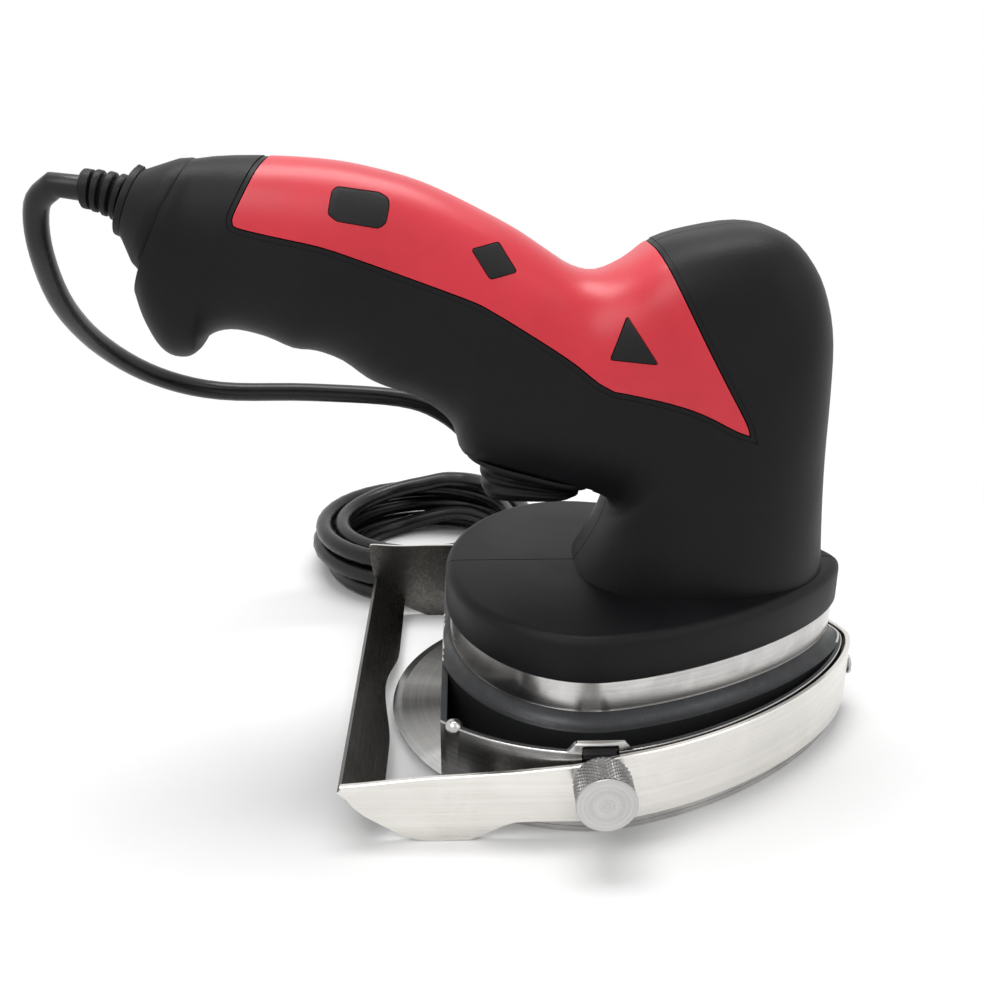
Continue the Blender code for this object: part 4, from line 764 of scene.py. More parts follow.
@dataclass(frozen=True)
class Metal(Finish):
    """Bare metal with its tool marks."""

    title: str
    colour: tuple[float, float, float]
    dark: tuple[float, float, float]
    roughness: tuple[float, float]
    lay: Lay = Lay.NONE
    centre: tuple[float, float, float] = (0.0, 0.0, 0.0)
    fineness: float = 9000.0
    depth: float = 0.000004
    film: float = 0.35
    swirl: float = 0.0
    # Share of the painted reflection: light and dark wedge shapes round the centre
    painted_reflection_share: float = 0.0
    metallic: float = 1.0

    def stretched(self, shading: Shading) -> Socket:
        """The coordinate that the finish's lines follow.

        Args:
            shading: The material's nodes.

        Returns:
            A socket of the stretched coordinate.
        """
        moved = shading.vector("SUBTRACT", shading.place(), self.centre)
        fine, slow, even = self.fineness, self.fineness / 160, self.fineness / 3
        stretch = {Lay.LEVEL: (slow, slow, fine), Lay.ACROSS: (fine, slow, fine),
                   Lay.NONE: (even, even, even)}.get(self.lay)
        if stretch:
            return shading.vector("MULTIPLY", moved, stretch)
        flat = (1, 1, 0) if self.lay is Lay.TURNED_UP else (1, 0, 1)
        reach = shading.length(shading.vector("MULTIPLY", moved, flat))
        return shading.add("CombineXYZ", {0: shading.maths("MULTIPLY", reach, fine)}).outputs[0]

    def painted_reflection_wedges(self, shading: Shading) -> Socket:
        """A painted reflection: two light and two dark wedge shapes round the centre.

        Args:
            shading: The material's nodes.

        Returns:
            A socket of a mask, 1 where the steel is lightest.
        """
        moved = shading.vector("SUBTRACT", shading.place(), self.centre)
        around = shading.vector("NORMALIZE", shading.vector("MULTIPLY", moved, (1, 1, 0)))
        fine = shading.noise(around, 7.0, 2.0)
        across = shading.add("SeparateXYZ", {0: around}).outputs[1]
        near = shading.spread(across, -0.12, -0.58, 0.0, 1.0)
        far = shading.spread(across, -0.04, 0.16, 0.0, 0.34)
        wedge = shading.maths("MAXIMUM", near, far)
        uneven = shading.spread(fine, 0.35, 0.65, 0.72, 1.0)
        return shading.maths("MULTIPLY", wedge, uneven, clamp=True)

    def fill(self, shading: Shading, shader: bpy.types.Node) -> None:
        """Lines for the bump, streaks and film for the colour and roughness.

        Args:
            shading: The material's nodes.
            shader: Its Principled shader.
        """
        lines = shading.add("Group", {"Stretched": self.stretched(shading)},
                            node_tree=lines_effect())
        film = shading.add("Group", node_tree=handling_effect())
        streaks = lines.outputs["Streaks"]
        worn = shading.maths("MULTIPLY", film.outputs["Film"], self.film)
        mask = shading.maths("ADD", shading.maths("MULTIPLY", streaks, 1.0 - self.film), worn,
                             clamp=True)
        # Painted reflection: fixed light and dark wedge shapes mixed into the colour and roughness
        if self.painted_reflection_share:
            mask = shading.maths("ADD", shading.maths("MULTIPLY", mask, 1.0 - self.painted_reflection_share),
                                 shading.maths("MULTIPLY", self.painted_reflection_wedges(shading), self.painted_reflection_share),
                                 clamp=True)
        colour = shading.blended(mask, (*self.dark, 1.0), (*self.colour, 1.0))
        shading.tree.links.new(colour, shader.inputs["Base Color"])
        rough = shading.spread(mask, 0.0, 1.0, self.roughness[1], self.roughness[0])
        shading.tree.links.new(rough, shader.inputs["Roughness"])
        bump = shading.add("Bump", {"Height": lines.outputs["Height"], "Strength": 1.0,
                                    "Distance": self.depth})
        shading.tree.links.new(bump.outputs[0], shader.inputs["Normal"])
        if self.swirl:
            tangent = shading.add("Tangent", direction_type="RADIAL", axis="Z")
            shading.tree.links.new(tangent.outputs[0], shader.inputs["Tangent"])
            shader.inputs["Anisotropic"].default_value = self.swirl
        shader.inputs["Metallic"].default_value = self.metallic
        shader.inputs["Base Color"].default_value = (*self.colour, 1.0)


BLACK_SHELL = Moulded("black shell plastic", (0.0060, 0.0060, 0.0070), (0.0090, 0.0090, 0.0102),
                      (0.42, 0.52), grain=2600.0, depth=0.00004, specular=0.15)
RED_PANEL = Moulded("red panel plastic", (0.56, 0.019, 0.034), (0.66, 0.026, 0.046), (0.34, 0.44),
                    grain=3000.0, depth=0.00002, specular=0.42, coat=0.08)
BLACK_INLAY = Moulded("black inlay plastic", (0.0065, 0.0065, 0.007), (0.010, 0.010, 0.011),
                      (0.48, 0.58), grain=2800.0, depth=0.00003, specular=0.22)
BLACK_RUBBER = Moulded("black rubber", (0.0035, 0.0035, 0.0038), (0.0065, 0.0065, 0.0068),
                       (0.42, 0.55), grain=1500.0, depth=0.00002, patch=90.0, specular=0.22)
CORD_JACKET = Moulded("glossy cord jacket", (0.003, 0.003, 0.0034), (0.006, 0.006, 0.0065),
                      (0.26, 0.36), grain=900.0, depth=0.00003, patch=120.0, specular=0.30,
                      coat=0.10)
GEAR_NYLON = Moulded("grey gear nylon", (0.30, 0.30, 0.29), (0.38, 0.38, 0.36), (0.35, 0.45))
SWITCH_PLASTIC = Moulded("switch plastic", (0.10, 0.10, 0.11), (0.14, 0.14, 0.15), (0.40, 0.50))
BOARD = Moulded("green board", (0.018, 0.13, 0.05), (0.03, 0.19, 0.08), (0.30, 0.45), grain=2000.0,
                coat=0.3)
FERRITE = Moulded("ferrite", (0.035, 0.035, 0.038), (0.06, 0.06, 0.065), (0.65, 0.80), grain=4000.0)
CARBON = Moulded("brush carbon", (0.015, 0.015, 0.016), (0.03, 0.03, 0.031), (0.55, 0.70),
                 grain=6000.0)
CAPACITOR_SLEEVE = Moulded("capacitor sleeve", (0.01, 0.01, 0.012), (0.02, 0.02, 0.024),
                           (0.22, 0.32), coat=0.4)
POLISHED_ALLOY = Metal("polished aluminium", (0.66, 0.65, 0.64), (0.46, 0.45, 0.44), (0.14, 0.26),
                       Lay.LEVEL, fineness=5000.0, depth=0.000002, film=0.6)
# Dark cast finish; in the trough its darkness is partly painted shade of the deep recess
CAST_ALLOY_AND_SHADE = Metal("cast aluminium", (0.052, 0.053, 0.056), (0.030, 0.031, 0.033), (0.30, 0.46),
                   fineness=6000.0, depth=0.00002, metallic=0.5)
GUARD_STEEL = Metal("brushed guard steel", (0.82, 0.80, 0.765), (0.68, 0.66, 0.625), (0.17, 0.30),
                    Lay.LEVEL, fineness=7000.0, depth=0.000003)
# A darker copy of the polished aluminium for the skirt's outer side
SKIRT_ALLOY = Metal("worn skirt aluminium", (0.30, 0.295, 0.29), (0.13, 0.128, 0.126), (0.20, 0.34),
                    Lay.LEVEL, fineness=5000.0, depth=0.000003, film=0.6)
# A darker copy of the guard steel: painted shade and painted dark reflection
SHADED_PLATE_STEEL = Metal("brushed cross plate steel", (0.15, 0.143, 0.132), (0.070, 0.067, 0.062),
                    (0.20, 0.34), Lay.ACROSS, fineness=7000.0, depth=0.000003)
# A darker copy of the knob's steel: painted shade in the knurl's valleys
SHADED_KNURL_STEEL = Metal("knurled steel", (0.34, 0.335, 0.33), (0.14, 0.138, 0.135), (0.20, 0.32),
                    fineness=5000.0)
BRIGHT_STEEL = Metal("bright steel", (0.60, 0.60, 0.59), (0.44, 0.44, 0.43), (0.16, 0.28),
                     fineness=5000.0)
BLACKED_STEEL = Metal("blacked steel", (0.045, 0.045, 0.047), (0.03, 0.03, 0.031), (0.30, 0.42),
                      fineness=5000.0)
CORE_STEEL = Metal("core laminations", (0.16, 0.16, 0.17), (0.07, 0.07, 0.075), (0.35, 0.55),
                   Lay.LEVEL, fineness=2500.0)
COPPER = Metal("commutator copper", (0.74, 0.36, 0.20), (0.55, 0.24, 0.12), (0.22, 0.36), Lay.LEVEL)


class Bench:
    """Puts finished pieces in their place on the frame."""

    def __init__(self) -> None:
        """Finds the blade axis from the frame's blade."""
        low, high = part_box("blade")
        self.axis = Vector(((low.x + high.x) / 2, (low.y + high.y) / 2, 0.0))

    def at(self, place: Point) -> Vector:
        """A place in millimetres on the knife, in the row frame in metres."""
        return self.axis + Vector(place) * MM

    def finish(self, obj: Object, name: str, finish: Finish, body: Body,
               replaces: Iterable[str] = (), sharp: float = 30.0, soften: float = 0.0) -> Object:
        """Names, dresses and places a worked solid, and lets it ride on its body.

        Args:
            obj: The solid in millimetres.
            name: The piece's name.
            finish: Its finish.
            body: The body it rides on.
            replaces: The CAD nodes it stands for.
            sharp: Edges over this many degrees stay sharp.
            soften: Width of a rounding along its sharp edges, in millimetres.

        Returns:
            The piece.
        """
        bm = bmesh.new()
        bm.from_mesh(obj.data)
        bmesh.ops.remove_doubles(bm, verts=bm.verts, dist=MERGE)
        if soften:
            corner = math.radians(max(sharp, SOFTENED_OVER))
            edges = [e for e in bm.edges if len(e.link_faces) == 2
                     and e.calc_face_angle(0.0) > corner]
            bmesh.ops.bevel(bm, geom=edges, offset=soften, affect="EDGES", segments=2, profile=0.5,
                            material=-1, clamp_overlap=True, loop_slide=False)
        bmesh.ops.scale(bm, vec=(MM, MM, MM), verts=bm.verts)
        bmesh.ops.translate(bm, vec=self.axis, verts=bm.verts)
        bm.to_mesh(obj.data)
        bm.free()
        obj.name = name
        obj.data.name = name
        obj.data.shade_smooth()
        obj.data.set_sharp_from_angle(angle=math.radians(sharp))
        obj.data.materials.clear()
        obj.data.materials.append(finish.material())
        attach(obj, body.value)
        if replaces:
            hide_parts(*replaces)
        LOG.info("%s: %d faces", name, len(obj.data.polygons))
        return obj


def second_finish(piece: Object, finish: Finish, wanted: Callable[[Vector, Vector], bool],
                  origin: Vector) -> None:
    """Gives some faces of a finished piece another finish.

    Args:
        piece: The piece.
        finish: The other finish.
        wanted: Says from a face's place in millimetres and its normal whether it gets it.
        origin: Where the places are measured from, in metres.
    """
    piece.data.materials.append(finish.material())
    slot = len(piece.data.materials) - 1
    for polygon in piece.data.polygons:
        if wanted((polygon.center - origin) / MM, polygon.normal):
            polygon.material_index = slot


def dress(finish: Finish, node: str) -> None:
    """Gives a finish to a CAD node that stays.

    Args:
        finish: The finish.
        node: The node's name.
    """
    mesh = FRAME["nodes"][node].data
    mesh.materials.clear()
    mesh.materials.append(finish.material())
    LOG.info("%s: dressed in %s", node, finish.title)


# Housing sections: inner edge x and z, outer edge x and z, half width, outer power, inner power
HOUSING = (
    (-105.6, 114.6, -90.4, 144.8, 14.5, 2.3, 2.3),
    (-104.4, 109.0, -89.0, 145.0, 15.0, 2.3, 2.3),
    (-102.0, 103.2, -87.4, 145.2, 15.2, 2.3, 2.3),
    (-99.2, 100.4, -85.6, 145.4, 15.4, 2.3, 2.4),
    (-95.6, 99.8, -83.4, 145.5, 15.6, 2.3, 2.4),
    (-93.0, 101.2, -81.2, 145.6, 15.8, 2.3, 2.4),
    (-91.0, 104.0, -79.0, 145.6, 16.0, 2.3, 2.4),
    (-87.4, 106.0, -76.4, 145.6, 16.2, 2.3, 2.4),
    (-82.5, 106.3, -72.5, 145.5, 16.5, 2.3, 2.4),
    (-76.0, 104.6, -66.5, 145.2, 17.0, 2.3, 2.4),
    (-70.0, 101.9, -60.5, 144.7, 17.4, 2.3, 2.4),
    (-64.5, 101.2, -54.9, 143.9, 17.6, 2.3, 2.4),
    (-58.5, 98.8, -48.5, 142.5, 17.8, 2.3, 2.4),
    (-53.0, 94.6, -42.5, 140.9, 17.9, 2.3, 2.4),
    (-48.5, 92.4, -37.0, 138.9, 18.0, 2.3, 2.4),
    (-42.5, 90.3, -31.0, 136.2, 18.1, 2.3, 2.4),
    (-36.4, 86.7, -25.0, 133.2, 18.2, 2.3, 2.4),
    (-32.6, 82.5, -20.0, 130.6, 18.4, 2.3, 2.4),
    (-30.0, 75.0, -15.5, 128.0, 18.6, 2.3, 2.4),
    (-22.0, 71.8, -9.5, 124.0, 19.2, 2.3, 2.4),
    (-13.0, 69.3, -4.0, 120.6, 19.8, 2.3, 2.4),
    (-4.0, 66.8, 2.0, 119.4, 20.6, 2.4, 2.4),
    (2.5, 65.0, 9.0, 122.0, 21.6, 2.7, 2.4),
    (5.6, 63.6, 16.0, 126.6, 22.6, 3.1, 2.5),
    (6.4, 62.4, 25.0, 129.0, 23.4, 3.5, 2.5),
    (6.5, 61.4, 36.0, 130.4, 24.0, 3.6, 2.6),
    (6.3, 60.4, 44.5, 128.6, 24.4, 3.6, 2.6),
    (6.0, 59.2, 51.0, 122.4, 24.6, 3.3, 2.6),
    (5.6, 58.0, 55.2, 114.6, 24.8, 3.0, 2.7),
    (5.0, 56.4, 58.0, 105.0, 25.0, 2.6, 2.7),
    (4.0, 54.0, 59.2, 92.0, 25.0, 2.4, 2.7),
    (2.2, 50.6, 60.1, 76.0, 25.0, 2.2, 2.8),
    (0.4, 47.5, 61.3, 60.0, 25.0, 2.1, 2.8),
    (-1.6, 44.4, 62.8, 46.0, 25.0, 2.0, 2.8),
    (-3.4, 40.0, 63.8, 38.0, 25.0, 2.0, 2.8),
)

# Panel in the top of the housing, seen from the side; its corners stay sharp
PANEL_OUTLINE = (
    (-71.0, 152.0), (-72.5, 146.4), (-74.5, 143.2), (-77.0, 138.3), (-79.2, 133.9), (-79.4, 132.4),
    (-78.4, 131.4), (-71.0, 129.7), (-60.7, 127.5), (-52.0, 124.6), (-43.7, 121.6), (-33.4, 117.8),
    (-26.3, 115.0), (-22.4, 112.8), (-15.3, 108.5), (-8.1, 104.0), (-3.7, 101.0), (0.8, 97.5),
    (4.4, 95.6), (9.6, 94.8), (17.0, 93.3), (24.2, 91.0), (31.8, 87.2), (35.0, 86.0), (33.9, 89.0),
    (28.9, 97.7), (23.8, 106.8), (19.0, 116.0), (15.0, 124.2), (12.3, 129.6), (9.0, 136.0),
    (9.0, 152.0),
)
PANEL_CORNERS = (0, 18, 23, 30, 31)
INLAYS = {
    "bar": ((-56.8, 139.6), (-48.0, 138.3), (-46.0, 137.2), (-45.7, 135.8), (-46.4, 132.3),
            (-48.0, 131.3), (-57.0, 132.9), (-58.7, 134.3), (-57.9, 138.8)),
    "diamond": ((-27.6, 126.4), (-21.7, 127.5), (-17.7, 121.4), (-23.6, 120.2)),
    "wedge": ((6.9, 112.0), (13.5, 102.2), (3.3, 102.8)),
}


@dataclass
class Handle:
    """The clamshell handle and tower, with the red panel, its inlays and the screws."""

    bench: Bench
    wall: float = 3.6
    panel_thick: float = 1.7
    inlay_depth: float = 1.1
    inlay_proud: float = 0.15
    inlay_round: float = 0.55
    inlay_soften: float = 0.12
    lip: float = 1.15
    lip_depth: float = 0.22
    flange: Egg = Egg(35.0, 68.8, 43.8)
    flange_bottom: float = 33.5
    flange_top: float = 44.5
    flange_round: float = 2.6
    flange_wall: float = 2.5
    screws: tuple = ((-89.0, 124.0), (-42.0, 102.0), (47.0, 112.0))
    screw_radius: float = 1.4
    screw_head: float = 3.0
    counterbore: float = 7.0
    seat_rear: tuple = (-29.5, 76.4)
    seat_front: tuple = (2.2, 67.55)
    pivot: tuple = (-4.0, 74.5)
    switch_z: float = 80.5

    def stations(self, steps: int) -> list[tuple]:
        """The sections, with finer ones drawn smoothly between them.

        Args:
            steps: Sections per span.

        Returns:
            The sections' seven values each.
        """
        line = [HOUSING[0], *HOUSING, HOUSING[-1]]
        result = [tuple(between_points(*four, step / steps) for four in zip(*line[k - 1:k + 3]))
                  for k in range(1, len(line) - 2) for step in range(steps)]
        return result + [HOUSING[-1]]

    def body(self, inset: float = 0.0, count: int = 72, steps: int = 3, first: int = 0,
             skip: int = 1) -> Object:
        """The handle and tower as one solid, drawn in by an inset.

        Args:
            inset: How far each side is drawn in.
            count: Points round a section.
            steps: Sections per span.
            first: The first section used.
            skip: Use every section, every second one and so on.

        Returns:
            The solid.
        """
        stations = self.stations(steps)[first::skip]
        if stations[-1] != HOUSING[-1]:
            stations.append(HOUSING[-1])
        rings = []
        for ix, iz, ox, oz, half, outer_power, inner_power in stations:
            length = math.hypot(ox - ix, oz - iz)
            ux, uz = (ox - ix) / length * inset, (oz - iz) / length * inset
            rings.append(section((ix + ux, iz + uz), (ox - ux, oz - uz), half - inset, outer_power,
                                 inner_power, count))
        return loft(rings)

    def nose(self) -> Object:
        """The tapered nose at the back of the handle, its creases slightly rounded.

        Returns:
            The solid.
        """
        stops = (
            (-94.4, 131.0, 29.0, 13.0, 13.0), (-97.0, 132.5, 29.0, 14.15, 14.15),
            (-97.7, 132.7, 28.8, 14.15, 14.15), (-98.9, 133.1, 28.2, 13.5, 13.7),
            (-99.6, 133.35, 27.7, 13.1, 13.4), (-103.9, 134.8, 23.7, 8.85, 9.9),
            (-104.5, 135.0, 23.3, 8.3, 9.45),
        )
        rings = []
        for x, z, tilt, tall, wide in stops:
            angle = math.radians(tilt)
            over, up = math.sin(angle) * tall, math.cos(angle) * tall
            rings.append(section((x - over, z - up), (x + over, z + up), wide, 2.2, 2.2, 72))
        return loft(rings)

    def seat(self, x: float, lift: float = 0.0) -> float:
        """Height of the slanted trigger seat at a place along the handle."""
        slope = (self.seat_front[1] - self.seat_rear[1]) / (self.seat_front[0] - self.seat_rear[0])
        return self.seat_rear[1] + slope * (x - self.seat_rear[0]) + lift

    def panel_line(self, amount: float = 0.0, steps: int = 3) -> list[Point]:
        """The panel's outline from the side, smooth between corners and moved out.

        Args:
            amount: How far it is moved out.
            steps: Steps between two of its corners.

        Returns:
            Pairs of x and z.
        """
        line: list[Point] = []
        for start, stop in zip(PANEL_CORNERS, PANEL_CORNERS[1:] + (len(PANEL_OUTLINE),)):
            run = list(PANEL_OUTLINE[start:stop + 1]) or [PANEL_OUTLINE[start]]
            run = [(*point, 0.0) for point in run]
            bend = smooth_line(run, steps)[:-1] if len(run) > 1 else [Vector(run[0])]
            line += [(point[0], point[1]) for point in bend]
        return grown(line, amount) if amount else line

    def inner_pieces(self) -> list[Object]:
        """Seat pad, motor cradle, shelves and screw bosses, cut to the inside of the wall.

        Returns:
            The solids, which may touch each other.
        """
        rear, front = self.seat_rear[0] + 1.0, self.seat_front[0] + 2.0
        pad = prism(((rear, self.seat(rear, -2.0)), (front, self.seat(front, -2.0)),
                     (front, self.seat(front, 3.0)), (rear, self.seat(rear, 3.0))), -22, 22,
                    Axis.ACROSS)
        cradle = combine(block((14, -30, 84), (58, 30, 86)), Cut.TAKE, rod(19.3, 80, 90, 34.0))
        shelves = [block((12, -30, 101.2), (38, -9.5, 103.2)),
                   block((12, 9.5, 101.2), (38, 30, 103.2))]
        bosses = [cross_rod(4.2, -30, 30, x, z, 24) for x, z in self.screws]
        return [combine(piece, Cut.SHARE, self.body(1.0, 24, 1))
                for piece in (pad, cradle, *shelves, *bosses)]

    def shell(self) -> Object:
        """Both halves as one hollow solid, with every hole and recess in it.

        Returns:
            The solid, not yet parted into halves.
        """
        arc = [(self.flange_top - self.flange_round * (1 - math.sin(a)),
                -self.flange_round * (1 - math.cos(a)))
               for a in (math.radians(15 * k) for k in range(7))]
        levels = [(self.flange_bottom, -0.5), (self.flange_bottom + 0.15, -0.15),
                  (self.flange_bottom + 0.5, 0.0)]
        outer = self.body()
        combine(outer, Cut.JOIN, self.flange.stack(levels + arc), self.nose())
        ceiling = self.flange_top - self.flange_wall
        hollow = self.flange.stack(((self.flange_bottom - 3, -self.flange_wall),
                                    (ceiling, -self.flange_wall)), 60)
        combine(outer, Cut.TAKE, hollow, self.body(self.wall, 24, 1, 3, 2))
        combine(outer, Cut.JOIN, *self.inner_pieces(),
                block((-8.5, -7.2, 70), (0.6, 7.2, self.switch_z - CLEAR)),
                block((-26, -7.2, 75), (-21.4, 7.2, self.switch_z - CLEAR)))
        rear, front = self.seat_rear[0] - 1.5, self.seat_front[0]
        window = block((-20.5, -4.6, 60), (-0.7, 4.6, self.switch_z - CLEAR - 1.4))
        below = prism(((rear, self.seat(rear)), (rear, 58), (front, 58), (front, self.seat(front))),
                      -30, 30, Axis.ACROSS)
        bore = along_nose(((0, 2), (5.6, 2), (5.6, -4), (7.6, -4), (7.6, -8.5), (5.6, -8.5),
                           (5.6, -17), (0, -17)), 40)
        drills = [cross_rod(1.3, -9, 9, *self.pivot, 24)]
        for x, z in self.screws:
            drills.append(cross_rod(self.screw_radius + CLEAR, -11, self.counterbore + 1, x, z, 24))
            drills.append(cross_rod(self.screw_head + CLEAR, self.counterbore, 40, x, z, 40))
        combine(outer, Cut.TAKE, window, below, bore, *drills)
        step = prism(self.panel_line(CLEAR + self.lip), -40, 40, Axis.ACROSS)
        combine(step, Cut.TAKE, self.body(self.lip_depth))
        recess = prism(self.panel_line(CLEAR), -40, 40, Axis.ACROSS)
        combine(recess, Cut.TAKE, self.body(self.panel_thick + CLEAR, 36))
        return combine(outer, Cut.TAKE, step, recess)

    def build(self) -> None:
        """Makes both halves, the panel, its inlays and the screws."""
        near = self.shell()
        far = copy_of(near)
        keep_half(near, -CLEAR / 2, -1.0)
        keep_half(far, CLEAR / 2, 1.0)
        finish = self.bench.finish
        finish(near, "near_handle_half", BLACK_SHELL, Body.KNIFE, ("near_housing_shell",), 24)
        finish(far, "far_handle_half", BLACK_SHELL, Body.KNIFE, ("far_housing_shell",), 24)
        self.build_panel()
        for number, (x, z) in enumerate(self.screws, 1):
            seat = self.counterbore + CLEAR
            screw = turned(((0, -10), (1.4, -9.2), (1.4, seat), (3.0, seat), (3.0, seat + 1.5),
                            (2.75, seat + 2.1), (2.0, seat + 2.4), (0, seat + 2.4)), 32, (x, 0, z),
                           (0, 1, 0))
            slots = [block((x - a, seat + 1.3, z - b), (x + a, seat + 4, z + b))
                     for a, b in ((1.6, 0.3), (0.3, 1.6))]
            combine(screw, Cut.TAKE, *slots)
            finish(screw, f"handle_screw_{number}", BRIGHT_STEEL, Body.KNIFE,
                   (f"housing_screw_{number}",))

    def build_panel(self) -> None:
        """Makes the red panel and the six inlays in it."""
        panel = self.body()
        combine(panel, Cut.SHARE, prism(self.panel_line(), -40, 40, Axis.ACROSS))
        combine(panel, Cut.TAKE, self.body(self.panel_thick, 36))
        pockets = []
        for title, outline in INLAYS.items():
            for side, low, high in (("near", -40, -4), ("far", 4, 40)):
                line = self.rounded(outline, self.inlay_round)
                pocket = prism(grown(line, CLEAR * 0.7), low, high, Axis.ACROSS)
                pockets.append(combine(pocket, Cut.TAKE, self.body(self.inlay_depth, 36)))
                inlay = prism(line, low, high, Axis.ACROSS)
                combine(inlay, Cut.SHARE, self.body(-self.inlay_proud))
                combine(inlay, Cut.TAKE, self.body(self.inlay_depth - self.inlay_proud, 36))
                self.bench.finish(inlay, f"{side}_{title}_badge", BLACK_INLAY, Body.KNIFE,
                                  (f"{side}_{title}_inlay",), 24, self.inlay_soften)
        combine(panel, Cut.TAKE, *pockets)
        self.bench.finish(panel, "red_grip_panel", RED_PANEL, Body.KNIFE, ("top_panel",), 24)

    @staticmethod
    def rounded(outline: Outline, radius: float) -> list[Point]:
        """An outline with each corner cut by a short curve.

        Args:
            outline: Its corners.
            radius: How far from a corner the curve starts.

        Returns:
            The new outline.
        """
        result = []
        for k, point in enumerate(outline):
            here = Vector(point)
            start = here + (Vector(outline[k - 1]) - here).normalized() * radius
            stop = here + (Vector(outline[(k + 1) % len(outline)]) - here).normalized() * radius
            for t in (0.0, 0.33, 0.67, 1.0):
                result.append(tuple(start.lerp(here, t).lerp(here.lerp(stop, t), t)))
        return result


NOSE_TILT = math.radians(23.3)
NOSE_END = Vector((-104.5, 0.0, 135.0))
NOSE_OUT = Vector((-math.cos(NOSE_TILT), 0.0, math.sin(NOSE_TILT)))
NOSE_UP = Vector((NOSE_OUT.z, 0.0, -NOSE_OUT.x))


def along_nose(profile: Outline, segments: int = 56) -> Object:
    """A turned body on the nose's axis, its heights measured outwards from the end face."""
    return turned(profile, segments, NOSE_END, NOSE_OUT)


@dataclass
class CordSet:
    """The strain relief, the mains lead with its coil, and the plug."""

    bench: Bench
    radius: float = 2.9
    relief: float = 12.2
    collar: float = 2.1
    droop: float = 16.0
    per_turn: int = 36
    change_rate: float = 4.5
    relief_run: float = 2.1
    coil_run: float = 2.4
    centre: tuple = (-42.0, 98.0)
    lean: float = -1.6
    coil_outer: float = 39.4
    step: float = 6.4
    layer: float = 6.3
    layers: int = 3
    per_layer: float = 2.0
    turns: float = 5.5
    lift: tuple = (4.0, 0.25)
    start: float = 90.0
    plug: tuple = (24.0, 79.0, 6.95)
    hung: tuple = (
        (-128.0, 2.6, 134.4), (-131.2, 9.5, 122.6), (-133.0, 24.0, 106.8), (-131.2, 44.0, 91.6),
        (-122.0, 60.0, 78.9), (-106.0, 70.4, 71.4), (-79.0, 77.0, 68.9), (-50.6, 81.0, 65.6),
        (-36.6, 83.6, 59.4), (-26.6, 85.2, 49.6), (-20.0, 88.6, 38.4), (-17.2, 95.8, 29.8),
        (-18.2, 105.2, 25.2), (-21.6, 114.4, 22.9), (-27.6, 121.2, 21.8), (-33.0, 123.8, 21.4),
    )
    lead_out: tuple = ((-20.0, 64.6, 3.0), (-6.0, 69.0, 3.4), (6.0, 75.6, 5.2))

    def drooped(self, point: Vector) -> Vector:
        """A point of the relief, with the ribbed length bent down by its droop.

        Args:
            point: A point on or near the straight relief.

        Returns:
            Its place on the bent relief.
        """
        off = point - NOSE_END
        bent = off.dot(NOSE_OUT) - self.collar
        if bent <= 0:
            return point.copy()
        across = off.dot(NOSE_UP)
        turn = math.radians(self.droop) / (self.relief - self.collar)
        angle = turn * bent
        length, fall = math.sin(angle) / turn, (1 - math.cos(angle)) / turn
        return (NOSE_END + NOSE_OUT * (self.collar + length + across * math.sin(angle))
                + NOSE_UP * (across * math.cos(angle) - fall) + Vector((0.0, point.y, 0.0)))

    def coil_point(self, turn: float) -> Vector:
        """A place along the coil, counted in turns from its top inner end.

        Args:
            turn: How many turns along the coil.

        Returns:
            The centre line's place there.
        """
        layer = min(int(turn / self.per_layer), self.layers - 1)
        within = turn - layer * self.per_layer
        inward = self.per_layer - within if layer % 2 == 0 else within
        radius = self.coil_outer - self.step * inward
        drop = 0.0
        for change in range(1, self.layers):
            share = (turn - change * self.per_layer) * self.change_rate + 0.5
            drop += eased(min(1.0, max(0.0, share)))
        above = self.layers - 1 - drop
        high, turns = self.lift
        z = self.radius + 0.05 + self.layer * above + high * max(0.0, 1.0 - turn / turns) ** 2
        angle = math.radians(self.start) + FULL_TURN * turn
        return Vector((self.centre[0] + self.lean * above + radius * math.cos(angle),
                       self.centre[1] + radius * math.sin(angle), z))

    def route(self) -> list[Vector]:
        """The cord's whole centre line, from the relief's tip to the plug.

        Returns:
            Its points in order.
        """
        start = self.drooped(NOSE_END + NOSE_OUT * (self.relief + CLEAR))
        tilt = NOSE_TILT - math.radians(self.droop)
        away = Vector((-math.cos(tilt), 0.0, math.sin(tilt))) * (self.relief_run * self.radius)
        coil = [self.coil_point(k / self.per_turn)
                for k in range(int(self.turns * self.per_turn) + 1)]
        before = (coil[0] - self.coil_point(1 / 24)).normalized()
        after = (coil[-1] - self.coil_point(self.turns - 1 / 24)).normalized()
        join, leave = coil[0] + before * CLEAR, coil[-1] + after * CLEAR
        run = self.coil_run * self.radius
        hung = smooth_line((start + away, *self.hung, join + before * run, join), 5)
        x, y, z = self.plug
        out = smooth_line((leave, leave + after * run, *self.lead_out, (x - 10.0, 78.8, 6.8),
                           (x - 3.6, y, z)), 5)
        return [start, *hung, *coil, *out, Vector((x - CLEAR, y, z))]

    def build_cord(self, pieces: Sequence[Object]) -> None:
        """The lead as one round curve.

        Args:
            pieces: The plug's pieces, which are not used.
        """
        curve = bpy.data.curves.new("mains_cord", "CURVE")
        curve.dimensions = "3D"
        curve.bevel_depth = self.radius * MM
        curve.bevel_resolution = 5
        curve.use_fill_caps = True
        route = self.route()
        spline = curve.splines.new("POLY")
        spline.points.add(len(route) - 1)
        for point, place in zip(spline.points, route):
            point.co = (*self.bench.at(place), 1.0)
        spline.use_smooth = True
        cord = bpy.data.objects.new("mains_cord", curve)
        bpy.context.collection.objects.link(cord)
        curve.materials.append(CORD_JACKET.material())
        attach(cord, Body.KNIFE.value)
        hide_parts("mains_lead", "cord_coil", "plug_lead")
        tuple(self.bench.at(route[0]))

